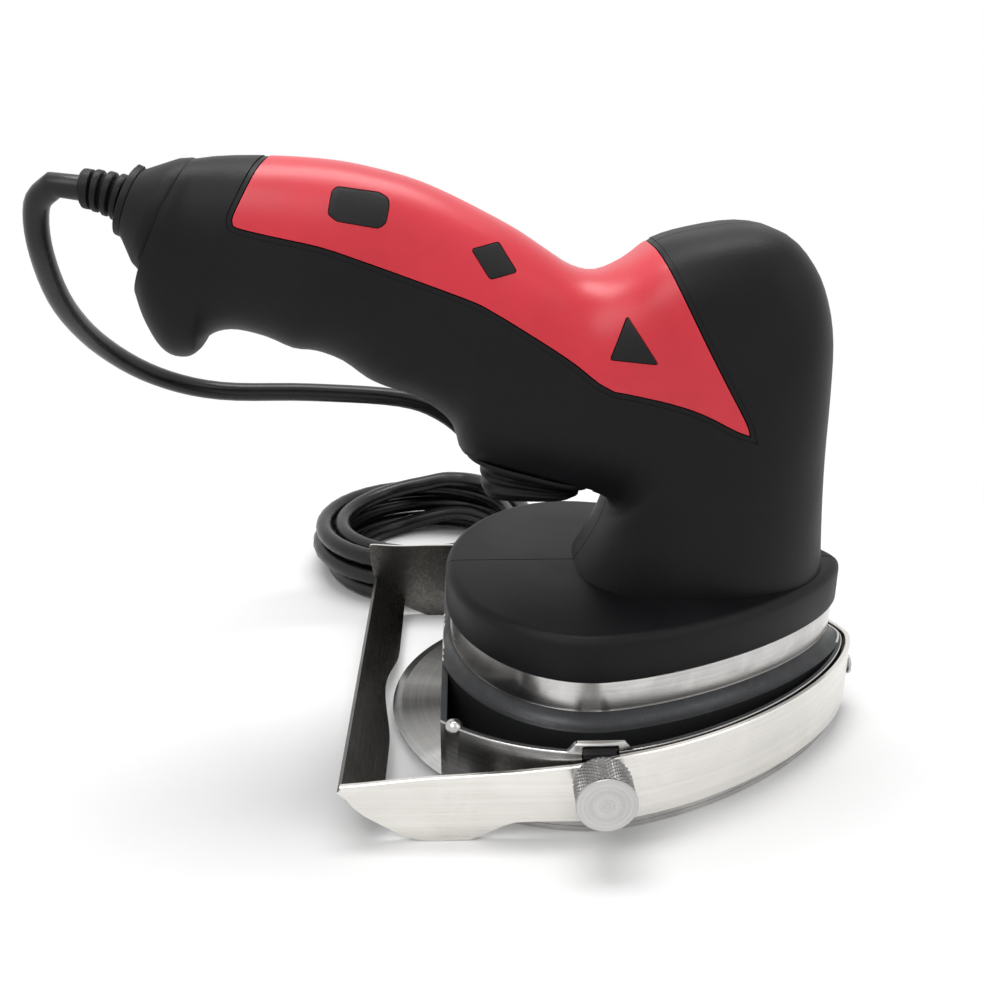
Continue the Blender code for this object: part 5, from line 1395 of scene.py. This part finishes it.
    def build_relief(self) -> None:
        """The ribbed strain relief and its flange."""
        tip = self.relief
        ribs = [(0, tip), (3.1, tip), (3.9, tip - 0.1), (4.4, tip - 0.5), (4.5, tip - 0.9),
                (4.5, tip - 2.2)]
        for peak, z in ((4.8, 8.6), (5.1, 6.1), (5.4, 3.7)):
            ribs += [(peak - 1.1, z + 0.95), (peak - 0.95, z + 0.8), (peak - 0.15, z + 0.6),
                     (peak, z + 0.4), (peak, z - 0.55), (peak - 0.15, z - 0.75),
                     (peak - 0.95, z - 0.9)]
        ribs += [(4.4, 2.6), (4.4, 2.1), (7.9, 2.1), (8.2, 1.95), (8.3, 1.7), (8.3, 0.5),
                 (8.1, 0.3), (5.3, 0.3), (5.3, -4.3), (7.3, -4.3), (7.3, -8.2), (5.3, -8.2),
                 (5.3, -14), (0, -14)]
        relief = along_nose(ribs)
        nub = turned(((0, 0.4), (1.1, 0.4), (1.1, 1.7), (0.8, 2.0), (0, 2.0)), 20,
                     NOSE_END + NOSE_UP * 7.6, NOSE_OUT)
        combine(relief, Cut.JOIN, nub)
        for vert in relief.data.vertices:
            vert.co = self.drooped(vert.co)
        self.bench.finish(relief, "cord_relief", BLACK_RUBBER, Body.KNIFE, ("strain_relief",), 35)

    def build_plug(self) -> list[Object]:
        """The flat two-pin plug.

        Returns:
            Its body and both pins.
        """
        x, y, z = self.plug
        stops = ((0.0, 3.6, 3.6), (0.5, 4.2, 4.2), (3.0, 4.3, 4.3), (6.0, 5.0, 4.8),
                 (9.5, 7.6, 5.5), (14.0, 12.0, 6.4), (17.0, 15.0, 6.7), (20.0, 16.6, 6.85),
                 (26.0, 17.5, 6.85), (34.0, 17.6, 6.85), (35.4, 17.45, 6.7), (36.0, 16.9, 6.2))
        turns = [on_squircle(FULL_TURN * k / 56, 4) for k in range(56)]
        rings = [[(x + off, y + wide * across, z + tall * up) for across, up in turns]
                 for off, wide, tall in stops]
        plug = loft(rings)
        cuts = [long_rod(2.3, 26, 40, (x, y + side * 9.3, z)) for side in (-1, 1)]
        for off in (22.0, 25.0, 28.0):
            for edge in (y - 17.4, y + 17.4):
                cuts.append(block((x + off, edge - 0.6, z - 4.6),
                                  (x + off + 1.3, edge + 0.6, z + 4.6)))
        combine(plug, Cut.TAKE, *cuts)
        pieces = [self.bench.finish(plug, "plug_moulding", CORD_JACKET, Body.KNIFE, ("plug_body",),
                                    35)]
        for name, side in (("near", -1), ("far", 1)):
            pin = turned(((0, 26.3), (2.0, 26.3), (2.0, 36.6), (1.85, 36.8), (1.85, 53.2),
                          (1.6, 54.3), (1.0, 54.9), (0, 55)), 32, (x, y + side * 9.3, z), (1, 0, 0))
            pieces.append(self.bench.finish(pin, f"{name}_pin", BRIGHT_STEEL, Body.KNIFE,
                                            (f"{name}_plug_pin",), 35))
        return pieces

    def build(self) -> None:
        """Makes the relief, the plug and the cord."""
        self.build_relief()
        self.build_cord(self.build_plug())


@dataclass
class GearHead:
    """The aluminium gear head: polished skirt and trough, with the bead posts at its open side."""

    bench: Bench
    skirt: Egg = Egg(53.5, 72.0, 53.5)
    wall: Egg = Egg(34.0, 67.8, 43.0)
    skirt_top: float = 21.4
    skirt_wall: float = 1.3
    wall_top: float = 33.2
    flare: tuple = (22.0, 26.0, 3.5)
    chord: float = -36.0
    chord_wall: float = 1.5
    web: tuple = (6.5, 9.0)
    chamber_inset: float = 3.7
    chamber_floor: float = 9.5
    ledge: tuple = (30.0, 2.2)
    bead: tuple = (-32.8, 41.3, 2.2, 22.8)
    plate_screws: tuple = ((-21.6, 21.6), (-21.6, -21.6), (58.0, 0.0))
    nose_screw_z: float = 12.0
    pad: float = 1.7
    bump: float = 2.2
    arch_half: float = 8.0
    arch_taper: float = 2.8
    trough_share: float = 0.972
    skirt_side_share: float = 0.98
    skirt_side_foot: float = 4.5
    window: tuple = (4.2, 11.0, 23.0)

    def grooves(self) -> list[tuple]:
        """Heights and offsets of the skirt's foot, with its two fine grooves.

        Returns:
            Pairs of height and offset, from the foot to the rim.
        """
        levels = [(0.0, -0.35), (0.15, -0.12), (0.4, 0.0)]
        for low in (1.5, 2.7):
            levels += [(low, 0.0), (low + 0.08, -0.18), (low + 0.3, -0.18), (low + 0.38, 0.0)]
        top = self.skirt_top
        return levels + [(top - 0.35, 0.0), (top - 0.1, -0.12), (top, -0.35)]

    def flare_levels(self) -> list[tuple]:
        """Heights and offsets of the gear wall, with the hollow flare at its foot.

        Returns:
            Pairs of height and offset, from the foot to the top.
        """
        low, high, reach = self.flare
        arc = [(high - (high - low) * math.cos(a), reach * (1 - math.sin(a)))
               for a in (math.radians(9 * k) for k in range(11))]
        return [(self.web[1] - 1.0, reach)] + arc + [(self.wall_top - 0.3, 0.0),
                                                     (self.wall_top, -0.3)]

    def arch(self) -> Object:
        """The thicker place in the skirt's wall whose rim rises over the clamp window.

        Returns:
            The solid.
        """
        top, foot = self.skirt_top + self.bump, self.web[1] - 1
        half, narrower, below = self.arch_half, self.arch_taper, 0.3
        rise = [(half - narrower * k / 8,
                 self.skirt_top - below + (self.bump + below) * eased(k / 8)) for k in range(9)]
        line = [(-x, z) for x, z in reversed(rise)] + [(-half, foot), (half, foot)] + rise
        pad = prism(line, -self.skirt.half - 1, -self.skirt.half + self.pad, Axis.ACROSS)
        levels = ((0, -0.15), (top - 0.35, -0.15), (top, -0.5), (40, -0.5))
        return combine(pad, Cut.SHARE, self.skirt.stack(levels, 200))

    def in_shaded_trough(self, place: Vector, _: Vector) -> bool:
        """Whether a face lies in the trough between the skirt and the gear wall: rough cast, with
        painted shade.

        Args:
            place: The face's place in millimetres from the blade axis.
            _: Its normal, which plays no part.

        Returns:
            True in the trough.
        """
        if place.x < self.chord + 0.2 or self.skirt.share(place.x, place.y) > self.trough_share:
            return False
        return self.web[1] - 0.2 < place.z < self.flare[1] - 0.6

    def on_skirt(self, place: Vector, _: Vector) -> bool:
        """Whether a face lies on the skirt's outer side, above its foot and below its rim."""
        outside = self.skirt.share(place.x, place.y) > self.skirt_side_share
        return outside and self.skirt_side_foot < place.z < self.skirt_top - 0.4

    def build(self) -> None:
        """Makes the casting and the screw in its nose."""
        casting = self.skirt.stack(self.grooves(), 200)
        inner = clipped(self.skirt.outline(-self.skirt_wall, 200), self.chord + self.chord_wall)
        combine(casting, Cut.TAKE, prism(inner, self.web[1], 40))
        x, y, radius, top = self.bead
        foot = self.skirt_top - 1.5
        dome = [(0, foot), (radius - 0.5, foot), (radius, foot + 0.6), (radius, top - radius)]
        dome += [(radius * math.cos(math.radians(a)),
                  top - radius + radius * math.sin(math.radians(a)))
                 for a in (22, 45, 67)] + [(0, top)]
        posts = [turned(dome, 32, (x, side * y, 0)) for side in (-1, 1)]
        combine(casting, Cut.JOIN, self.wall.stack(self.flare_levels(), 200), self.arch(), *posts)
        combine(casting, Cut.TAKE, block((-70, -60, -5), (self.chord, 60, 50)))
        chamber = prism(self.wall.outline(-self.chamber_inset, 80), self.chamber_floor, 40)
        combine(casting, Cut.TAKE, chamber)
        lugs = [rod(3.4, self.web[1] - 1, self.ledge[0] + 1, *place, 32)
                for place in self.plate_screws]
        combine(casting, Cut.JOIN, rod(13.5, self.web[1] - 1, 14.5), *lugs)
        half, foot, head = self.window
        cuts = [
            prism(self.wall.outline(-self.ledge[1], 80), self.ledge[0], 40),
            prism(inner, -5, self.web[0]),
            block((-40, -37, -5), (self.chord + self.chord_wall + 0.5, 37, 4.2)),
            rod(11.15, 7.5, 20), rod(8.0, 5, 9),
            block((-half, -self.skirt.half - 2, foot),
                  (half, -self.skirt.half + self.pad + 1, head), 0.5),
            long_rod(1.9, 66.4, 76, (0, 0, self.nose_screw_z)),
        ]
        cuts += [rod(1.8, 19, 40, x, y, 24) for x, y in self.plate_screws]
        combine(casting, Cut.TAKE, *cuts)
        piece = self.bench.finish(casting, "gear_head", POLISHED_ALLOY, Body.KNIFE,
                                  ("gear_head_casting",), 28)
        # Partly painted shade: the deep trough gets the dark cast finish
        second_finish(piece, CAST_ALLOY_AND_SHADE, self.in_shaded_trough, self.bench.axis)
        second_finish(piece, SKIRT_ALLOY, self.on_skirt, self.bench.axis)

        face = self.skirt.right + 2.5
        screw = turned(((0, 67), (1.3, 67), (1.6, 67.4), (1.6, face), (2.6, face),
                        (2.7, face + 0.1), (2.7, face + 0.5), (2.55, face + 0.72),
                        (2.2, face + 0.86), (1.6, face + 0.9), (0, face + 0.9)),
                       40, (0, 0, self.nose_screw_z), (1, 0, 0))
        slot = block((face + 0.4, -4, self.nose_screw_z - 0.35),
                     (face + 4, 4, self.nose_screw_z + 0.35))
        combine(screw, Cut.TAKE, slot)
        self.bench.finish(screw, "nose_pivot_screw", BRIGHT_STEEL, Body.KNIFE, ("nose_screw",))


@dataclass
class BladeSet:
    """The round blade with its hub and its slotted screw."""

    bench: Bench
    radius: float = 50.0
    z: float = 2.0
    thick: float = 1.4
    grind: float = 2.5
    screw: float = 7.0

    def build(self) -> None:
        """Makes the blade, the spindle and the blade screw."""
        axis = tuple(self.bench.axis)
        # Both blade finishes mix in a painted reflection: fixed light and dark wedge shapes round
        # the axis
        face = Metal("blade face steel", (0.66, 0.65, 0.625), (0.050, 0.049, 0.048), (0.16, 0.30),
                     Lay.TURNED_UP, axis, 5200.0, 0.000003, 0.15, swirl=0.6, painted_reflection_share=0.86)
        ground = Metal("blade ground edge", (0.62, 0.62, 0.61), (0.10, 0.10, 0.098), (0.14, 0.24),
                       Lay.TURNED_UP, axis, 9000.0, 0.000002, 0.3, swirl=0.5, painted_reflection_share=0.7)
        edge, top = self.radius - self.grind, self.z + self.thick
        blade = turned(((2.9, self.z), (edge, self.z), (self.radius - 0.1, self.z + 0.52),
                        (self.radius, self.z + 0.6), (self.radius, self.z + 0.75),
                        (self.radius - 0.1, self.z + 0.83), (edge, top), (2.9, top)), 256)
        piece = self.bench.finish(blade, "round_blade", face, Body.SPINDLE, ("blade",), 3)
        second_finish(piece, ground, lambda place, _: place.to_2d().length > edge, self.bench.axis)
        hub = self.z + self.thick + CLEAR
        spindle = turned(((0, 9.4), (2.8, 9.4), (2.8, hub), (8.8, hub), (9, hub + 0.2),
                          (9, hub + 1.3), (8.8, hub + 1.5), (6.2, hub + 2.3), (4, hub + 2.3),
                          (4, 31.9), (3.4, 32.5), (0, 32.5)), 48)
        self.bench.finish(spindle, "blade_hub", BRIGHT_STEEL, Body.SPINDLE, ("spindle",))
        low, rim = self.z - CLEAR, self.screw
        screw = turned(((0, 0.6), (rim - 0.7, 0.6), (rim - 0.2, 0.75), (rim, 1.1), (rim, low),
                        (2.5, low), (2.5, 8.6), (0, 9.0)), 56)
        combine(screw, Cut.TAKE, block((-5, -0.6, -1), (5, 0.6, 1.2)))
        self.bench.finish(screw, "blade_clamp_screw", BRIGHT_STEEL, Body.SPINDLE, ("blade_screw",))


@dataclass
class Guard:
    """The slicing guard band with its cross plate, the knurled clamp knob and the slide nut."""

    bench: Bench
    skirt: Egg = Egg(53.5, 72.0, 53.5)
    gap: float = 0.9
    thick: float = 1.3
    clamp_z: float = 16.7
    stud: float = 2.0
    knob: float = 6.75
    knob_face: float = 66.0
    knurls: int = 32
    knurl_rows: int = 7
    knurl_depth: float = 0.55
    diamond: float = 0.5
    stud_end: float = -48.5
    edge: float = 0.22
    bend: tuple = (4.4, 21.6)
    plate_top: tuple = (-58.0, 0.0, 14.0)
    plate_foot: tuple = (-49.5, 0.0, 4.1)
    plate_thick: float = 1.2
    scallop: tuple = (24.0, 1.84)
    corner: tuple = (42.0, 11.0, 1.2)
    near: tuple = (
        (-58.1, 14.3, 15.1), (-57.1, 12.2, 15.2), (-55.6, 9.6, 15.3), (-53.1, 7.1, 15.5),
        (-50.2, 5.1, 15.8), (-47.4, 3.3, 16.1), (-44.7, 1.6, 16.4), (-41.6, 0.4, 16.7),
        (-39.0, 0.0, 16.9), (-30.3, 0.0, 17.4), (-27.4, 0.8, 17.6), (-24.2, 2.4, 17.8),
        (-20.6, 4.1, 18.0), (-17.0, 4.7, 18.3), (-6.0, 4.6, 19.4),
    )
    far: tuple = (
        (-60.1, 23.0, 24.0), (-59.9, 19.5, 24.9), (-58.9, 14.0, 25.1), (-57.1, 11.4, 25.0),
        (-53.1, 6.9, 24.7), (-49.6, 3.7, 24.6), (-47.0, 2.2, 24.6), (-42.8, 0.3, 24.7),
        (-41.0, 0.0, 24.7), (-30.3, 0.0, 24.7), (-27.4, 0.8, 24.6), (-24.2, 2.4, 24.4),
        (-20.6, 4.1, 24.1), (-17.0, 4.7, 23.8), (-6.0, 4.6, 22.6),
    )

    def path(self) -> list[tuple]:
        """Places along the band with their outward normals and their lowest and highest points.

        Returns:
            For each place its x and y, its normal, and its lowest and highest z.
        """
        side = self.skirt.half + self.gap
        path = [((p.x, -side), (0.0, -1.0), max(0.0, p.y), p.z) for p in smooth_line(self.near, 3)]
        inner = self.skirt.outline(self.gap, 192)
        outer = self.skirt.outline(self.gap + self.thick, 192)
        for k in range(-48, 49):
            here, there = Vector(inner[k]), Vector(outer[k])
            rise = 0.2 * min(1.0, max(0.0, (k - 32) / 8))
            fall = 1.2 * max(0.0, 1.0 - (k + 48) / 6) ** 2
            low, high = self.bend
            path.append((tuple(here), tuple((there - here) / self.thick), low, high + rise - fall))
        return path + [((p.x, side), (0.0, 1.0), max(0.0, p.y), p.z)
                       for p in reversed(smooth_line(self.far, 3))]

    def cross_plate(self) -> Object:
        """The slanted plate between the two arms, its lower edge bowed up in the middle.

        Returns:
            The solid, without its joint to the band.
        """
        reach = self.skirt.half + self.gap + self.thick * 0.6
        top, foot = Vector(self.plate_top), Vector(self.plate_foot)
        slope = (foot - top).normalized()
        across = Vector((-slope.z, 0.0, slope.x)) * self.plate_thick
        half, depth = self.scallop
        start, length, shorter = self.corner
        strips = []
        for k in range(49):
            y = -reach + 2 * reach * k / 48
            bite = depth * (1 + math.cos(math.pi * y / half)) if abs(y) < half else 0.0
            turned_in = max(0.0, min(1.0, (abs(y) - start) / length))
            inner = foot - slope * (bite + shorter * turned_in) + across * turned_in
            ring = (top, inner, inner - across, top - across)
            strips.append([tuple(Vector((0, y, 0)) + place) for place in ring])
        return loft(strips)

    def in_painted_shade(self, place: Vector, normal: Vector) -> bool:
        """Whether a face gets painted shade: on the arms' inner sides or on the cross plate.

        Args:
            place: The face's place in millimetres from the blade axis.
            normal: Its normal.

        Returns:
            True on those faces.
        """
        inward = normal.y * place.y < -0.5 * abs(place.y) and place.x < -30
        inside = abs(place.y) < self.skirt.half + self.gap
        return inward or (inside and place.x < -40 and abs(normal.y) < 0.5)

    def build(self) -> None:
        """Makes the guard, the knob and the nut."""
        rings = []
        edge, thick = self.edge, self.thick
        for (x, y), (nx, ny), low, high in self.path():
            ring = ((0.0, low + edge), (0.0, high - edge), (edge, high), (thick - edge, high),
                    (thick, high - edge), (thick, low + edge), (thick - edge, low), (edge, low))
            rings.append([(x + nx * out, y + ny * out, z) for out, z in ring])
        band = loft(rings)
        combine(band, Cut.JOIN, self.cross_plate())
        holes = [cross_rod(self.stud + 0.4, -60, -50, 0.0, self.clamp_z, 40),
                 long_rod(1.9, 70, 78, (0, 0, 12))]
        combine(band, Cut.TAKE, *holes)
        piece = self.bench.finish(band, "slicing_guard", GUARD_STEEL, Body.GUARD, ("guard_band",),
                                  30)
        # Painted shade: the arms' inner sides and the cross plate get a darker copy of the guard
        # steel
        second_finish(piece, SHADED_PLATE_STEEL, self.in_painted_shade, self.bench.axis)
        self.build_knob()
        front, half, low, high = -self.skirt.half + 0.2, 3.9, self.clamp_z - 3, self.clamp_z + 3.6
        nut = block((-half, front, low), (half, front + 3.4, high), 0.25)
        combine(nut, Cut.JOIN, block((-half - 1.6, front + 2.3, low),
                                     (half + 1.6, front + 3.4, high), 0.2))
        combine(nut, Cut.TAKE, cross_rod(self.stud + CLEAR, -60, -40, 0, self.clamp_z, 32))
        self.bench.finish(nut, "clamp_slide_nut", BLACKED_STEEL, Body.GUARD, ("slide_nut",), 40)

    def build_knob(self) -> None:
        """The knob: a spun body whose waist is cut into a diamond knurl, with a turned face."""
        shoulder = self.skirt.half + self.gap + self.thick + CLEAR
        face, root = -self.knob_face, self.knob - self.knurl_depth
        low, high = face + 1.0, -shoulder - 1.1
        profile = [(0, face), (self.knob - 0.3, face), (self.knob - 0.1, face + 0.08),
                   (self.knob, face + 0.28), (self.knob, face + 0.55), (root, face + 0.75)]
        profile += [(root, low + (high - low) * k / self.knurl_rows)
                    for k in range(self.knurl_rows + 1)]
        profile += [(root - 0.1, high + 0.3), (root - 0.6, -shoulder), (self.stud, -shoulder),
                    (self.stud, self.stud_end - 0.3), (self.stud - 0.3, self.stud_end),
                    (0, self.stud_end)]
        knob = turned(profile, self.knurls)
        bm = bmesh.new()
        bm.from_mesh(knob.data)
        waist = [f for f in bm.faces if low < f.calc_center_median().z < high
                 and math.hypot(*f.calc_center_median().xy) > root - 0.5]
        known = set(waist)
        seams = [e for e in bm.edges if len(e.link_faces) == 2
                 and all(f in known for f in e.link_faces)]
        before = set(bm.faces) - known
        bmesh.ops.poke(bm, faces=waist, offset=0.0)
        bmesh.ops.dissolve_edges(bm, edges=seams, use_verts=False)
        diamonds = [f for f in bm.faces if f not in before and len(f.verts) == 4]
        bmesh.ops.poke(bm, faces=diamonds, offset=self.diamond)
        turn = Vector((0, 1, 0)).to_track_quat("Z", "Y").to_matrix().to_4x4()
        bmesh.ops.transform(bm, matrix=Matrix.Translation((0, 0, self.clamp_z)) @ turn,
                            verts=bm.verts)
        bm.to_mesh(knob.data)
        bm.free()
        axis = self.bench.at((0, -60, self.clamp_z))
        steel = Metal("turned knob steel", (0.60, 0.59, 0.58), (0.42, 0.415, 0.41), (0.18, 0.32),
                      Lay.TURNED_ACROSS, tuple(axis), 4200.0, 0.00001, 0.25)
        piece = self.bench.finish(knob, "knurled_knob", steel, Body.CLAMP, ("clamp_knob",), 18)
        # Painted shade: the knurled waist gets a darker steel than the turned face
        second_finish(piece, SHADED_KNURL_STEEL, lambda place, _: low < place.y < high
                      and math.hypot(place.x, place.z - self.clamp_z) > root - 0.6, self.bench.axis)


@dataclass
class Trigger:
    """The ribbed rubber boot over the trigger lever, and the return spring in it."""

    bench: Bench
    wall: float = 0.6
    keep: float = 0.86
    folds: tuple = (
        ((-24.4, 64.2), (-2.6, 63.4), 6.6), ((-24.0, 63.3), (-2.8, 62.8), 6.0),
        ((-24.9, 64.6), (-1.8, 63.7), 7.4), ((-25.6, 66.4), (-0.9, 64.3), 8.6),
        ((-24.8, 68.0), (-1.5, 64.9), 7.8), ((-25.9, 69.8), (-0.6, 65.3), 8.8),
        ((-25.2, 71.2), (-1.1, 65.8), 8.0), ((-26.3, 73.0), (-0.2, 66.2), 9.0),
        ((-26.2, 74.0), (-0.4, 66.7), 8.8),
    )
    power: float = 3.2
    count: int = 72
    lip: tuple = (((-29.0, 74.7), (1.3, 66.2), 11.0), ((-29.4, 75.1), (1.6, 66.6), 11.3),
                  ((-29.3, 76.0), (1.6, 67.35), 11.2))

    def fold(self, left: Point, right: Point, half: float) -> list[Point]:
        """One ring of the boot, between two points of the side view."""
        return section(left, right, half, self.power, self.power, self.count)

    def build(self) -> None:
        """Makes the boot and the spring."""
        flat = [(*left, *right, half) for left, right, half in self.folds[1:]]
        outer = [self.fold(row[:2], row[2:4], row[4]) for row in self.between(flat, 4)]
        outer += [self.fold(*row) for row in self.lip]
        wall = self.wall
        inner = [self.fold((-26.2 + wall, 74.8), (-0.4 - wall, 67.9), 8.8 - wall)]
        for left, right, half in reversed(self.folds[3:]):
            inner.append(self.fold((left[0] + wall, left[1]), (right[0] - wall, right[1] + 0.1),
                                   half - wall))
        inner.append(self.fold((-23.9, 64.1), (-2.9, 63.8), 6.4))
        boot = self.bench.finish(loft(outer + inner), "trigger_bellows", BLACK_RUBBER, Body.KNIFE,
                                 ("trigger_boot",), 50)
        tuple(self.bench.at((-14, 0, 76.4)))
        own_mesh(boot)
        low, high, radius, wire, per_turn = 68.3, 79.8, 1.9, 0.35, 32
        rings = []
        for k in range(4 * per_turn + 1):
            angle = FULL_TURN * k / per_turn
            out = Vector((math.cos(angle), math.sin(angle), 0.0))
            centre = Vector((-12.0, 0.0, low + (high - low) * k / (4 * per_turn))) + out * radius
            rings.append([centre + out * (wire * math.cos(a)) + Vector((0, 0, wire * math.sin(a)))
                          for a in (FULL_TURN * s / 12 for s in range(12))])
        spring = self.bench.finish(loft(rings), "return_spring", BRIGHT_STEEL, Body.KNIFE,
                                   ("trigger_spring",), 60)
        tuple(self.bench.at((-12, 0, 80.1)))
        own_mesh(spring)

    @staticmethod
    def between(rows: Sequence[Point], steps: int) -> list[Point]:
        """Rows of numbers with smooth ones between them, eased so that the folds stay round.

        Args:
            rows: Rows of left x and z, right x and z and half width.
            steps: Rows for each of them.

        Returns:
            All the rows.
        """
        result = []
        heights = (1, 3)
        for first, second in zip(rows, rows[1:]):
            for step in range(steps):
                t = step / steps
                result.append([a + (b - a) * (t if k in heights else eased(t))
                               for k, (a, b) in enumerate(zip(first, second))])
        return result + [list(rows[-1])]


class Works:
    """The inner pieces that keep their CAD shape."""

    finishes = {
        "bearing_plate": CAST_ALLOY_AND_SHADE, "plate_screw_1": BRIGHT_STEEL, "plate_screw_2": BRIGHT_STEEL,
        "plate_screw_3": BRIGHT_STEEL, "motor_can": BRIGHT_STEEL, "magnet_1": FERRITE,
        "magnet_2": FERRITE, "end_bell": SWITCH_PLASTIC, "front_motor_bearing": BRIGHT_STEEL,
        "rear_motor_bearing": BRIGHT_STEEL, "brush_1": CARBON, "brush_2": CARBON,
        "lower_spindle_bearing": BRIGHT_STEEL, "upper_spindle_bearing": BRIGHT_STEEL,
        "trigger_switch": SWITCH_PLASTIC, "rectifier_board": BOARD, "capacitor": CAPACITOR_SLEEVE,
        "drive_gear": GEAR_NYLON, "pinion": BRIGHT_STEEL, "motor_shaft": BRIGHT_STEEL,
        "armature_core": CORE_STEEL, "commutator": COPPER, "trigger_lever": SWITCH_PLASTIC,
        "trigger_pin": BRIGHT_STEEL, "switch_plunger": RED_PANEL,
    }

    def build(self) -> None:
        """Dresses each of them."""
        for node, finish in self.finishes.items():
            dress(finish, node)


@dataclass
class Studio:
    """Camera, floor, lamps and background."""

    bench: Bench
    place: tuple = (-29.6, -250.4, 159.1)
    pitch: float = 20.894
    turn: float = -1.553
    lens: float = 1050.0 / 984.0 * 36.0
    ambient: float = 0.48
    floor_tone: float = 0.90
    centre: tuple = (-20.0, 20.0, 0.0)
    fade: tuple = (0.10, 0.26)
    sheet: float = 3.0
    lamps: tuple = (
        ("key", (-0.5, -0.7, 1.1), (0.0, 0.0, 0.06), (0.9, 0.7), 5.4),
        ("fill", (0.9, -0.5, 0.7), (0.0, 0.0, 0.06), (0.5, 0.8), 1.6),
        ("top", (-0.05, 0.26, 0.95), (0.0, 0.0, 0.05), (0.8, 0.36), 6.4),
    )

    def camera(self) -> None:
        """The camera at the photograph's place."""
        data = bpy.data.cameras.new("camera")
        data.sensor_width = 36.0
        data.lens = self.lens
        data.clip_start = 0.01
        camera = bpy.data.objects.new("camera", data)
        bpy.context.collection.objects.link(camera)
        camera.location = self.bench.at(self.place)
        camera.rotation_euler = (math.radians(90 - self.pitch), 0.0, math.radians(self.turn))
        bpy.context.scene.camera = camera

    def lamp(self, name: str, place: Point, target: Point, size: Point, power: float) -> None:
        """An area lamp that looks at a target.

        Args:
            name: The lamp's name.
            place: Where it stands, in metres.
            target: What it looks at, in metres.
            size: Its width and height, in metres.
            power: Its power in watts.
        """
        data = bpy.data.lights.new(name, "AREA")
        data.shape = "RECTANGLE"
        data.size, data.size_y = size
        data.energy = power
        lamp = bpy.data.objects.new(name, data)
        bpy.context.collection.objects.link(lamp)
        lamp.location = place
        lamp.rotation_euler = (Vector(target) - Vector(place)).to_track_quat("-Z", "Y").to_euler()

    def backdrop(self) -> None:
        """A white background for the camera and reflections, and a plainer light all round."""
        world = bpy.data.worlds.new("studio")
        bpy.context.scene.world = world
        world.use_nodes = True
        world.node_tree.nodes.clear()
        shading = Shading(world.node_tree)
        light = shading.add("Background", {0: (1, 1, 1, 1), 1: self.ambient})
        white = shading.add("Background", {0: (1, 1, 1, 1), 1: 1.0})
        mix = shading.add("MixShader", {0: shading.seen(), 1: light.outputs[0],
                                        2: white.outputs[0]})
        out = shading.add("OutputWorld")
        world.node_tree.links.new(mix.outputs[0], out.inputs[0])

    def faded(self, paper: Material) -> Material:
        """Lets the sheet run out to plain white away from the knife, where it is seen or mirrored.

        Args:
            paper: The sheet's material.

        Returns:
            The same material.
        """
        shading = Shading(paper.node_tree)
        off = shading.vector("SUBTRACT", shading.place(), self.bench.at(self.centre))
        near, far = self.fade
        limits = {0: shading.length(off), 1: near, 2: far, 3: 0.0, 4: 1.0}
        share = shading.add("MapRange", limits, interpolation_type="SMOOTHSTEP").outputs[0]
        white = shading.add("Emission", {0: (1, 1, 1, 1), 1: 1.0})
        out = next(n for n in paper.node_tree.nodes if n.type == "OUTPUT_MATERIAL")
        plain = out.inputs[0].links[0].from_socket
        faded = shading.maths("MULTIPLY", share, shading.seen())
        mix = shading.add("MixShader", {0: faded, 1: plain, 2: white.outputs[0]})
        paper.node_tree.links.new(mix.outputs[0], out.inputs[0])
        return paper

    def floor(self) -> None:
        """A white sheet that keeps the knife's shadow."""
        bm = bmesh.new()
        bmesh.ops.create_grid(bm, x_segments=8, y_segments=8, size=self.sheet)
        mesh = bpy.data.meshes.new("floor")
        bm.to_mesh(mesh)
        bm.free()
        floor = bpy.data.objects.new("floor", mesh)
        bpy.context.collection.objects.link(floor)
        tone, light = self.floor_tone, self.floor_tone + 0.02
        paper = Moulded("white sheet", (tone, tone, tone), (light, light, light), (0.45, 0.6),
                        grain=300.0, depth=0.00001, patch=3.0, specular=0.3)
        mesh.materials.append(self.faded(paper.material()))
        floor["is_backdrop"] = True

    def build(self) -> None:
        """Makes the whole studio."""
        self.camera()
        self.backdrop()
        self.floor()
        for lamp in self.lamps:
            self.lamp(*lamp)


def note_bounds(stage: str, found: dict) -> None:
    """Keeps the object's box under a name, as plain lists."""
    found[stage] = [list(corner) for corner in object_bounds()]


def main() -> None:
    """Builds the sub-assemblies in order and dresses them."""
    logging.basicConfig(level=logging.INFO, format="%(name)s %(message)s")
    FRAME.update(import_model())
    boxes: dict = {}
    note_bounds("cad", boxes)
    bpy.context.scene.view_settings.view_transform = "Standard"
    bench = Bench()
    Studio(bench).build()
    CordSet(bench).build()
    Works().build()
    Handle(bench).build()
    GearHead(bench).build()
    BladeSet(bench).build()
    Guard(bench).build()
    Trigger(bench).build()
    note_bounds("visual", boxes)


if __name__ == "__main__":
    main()
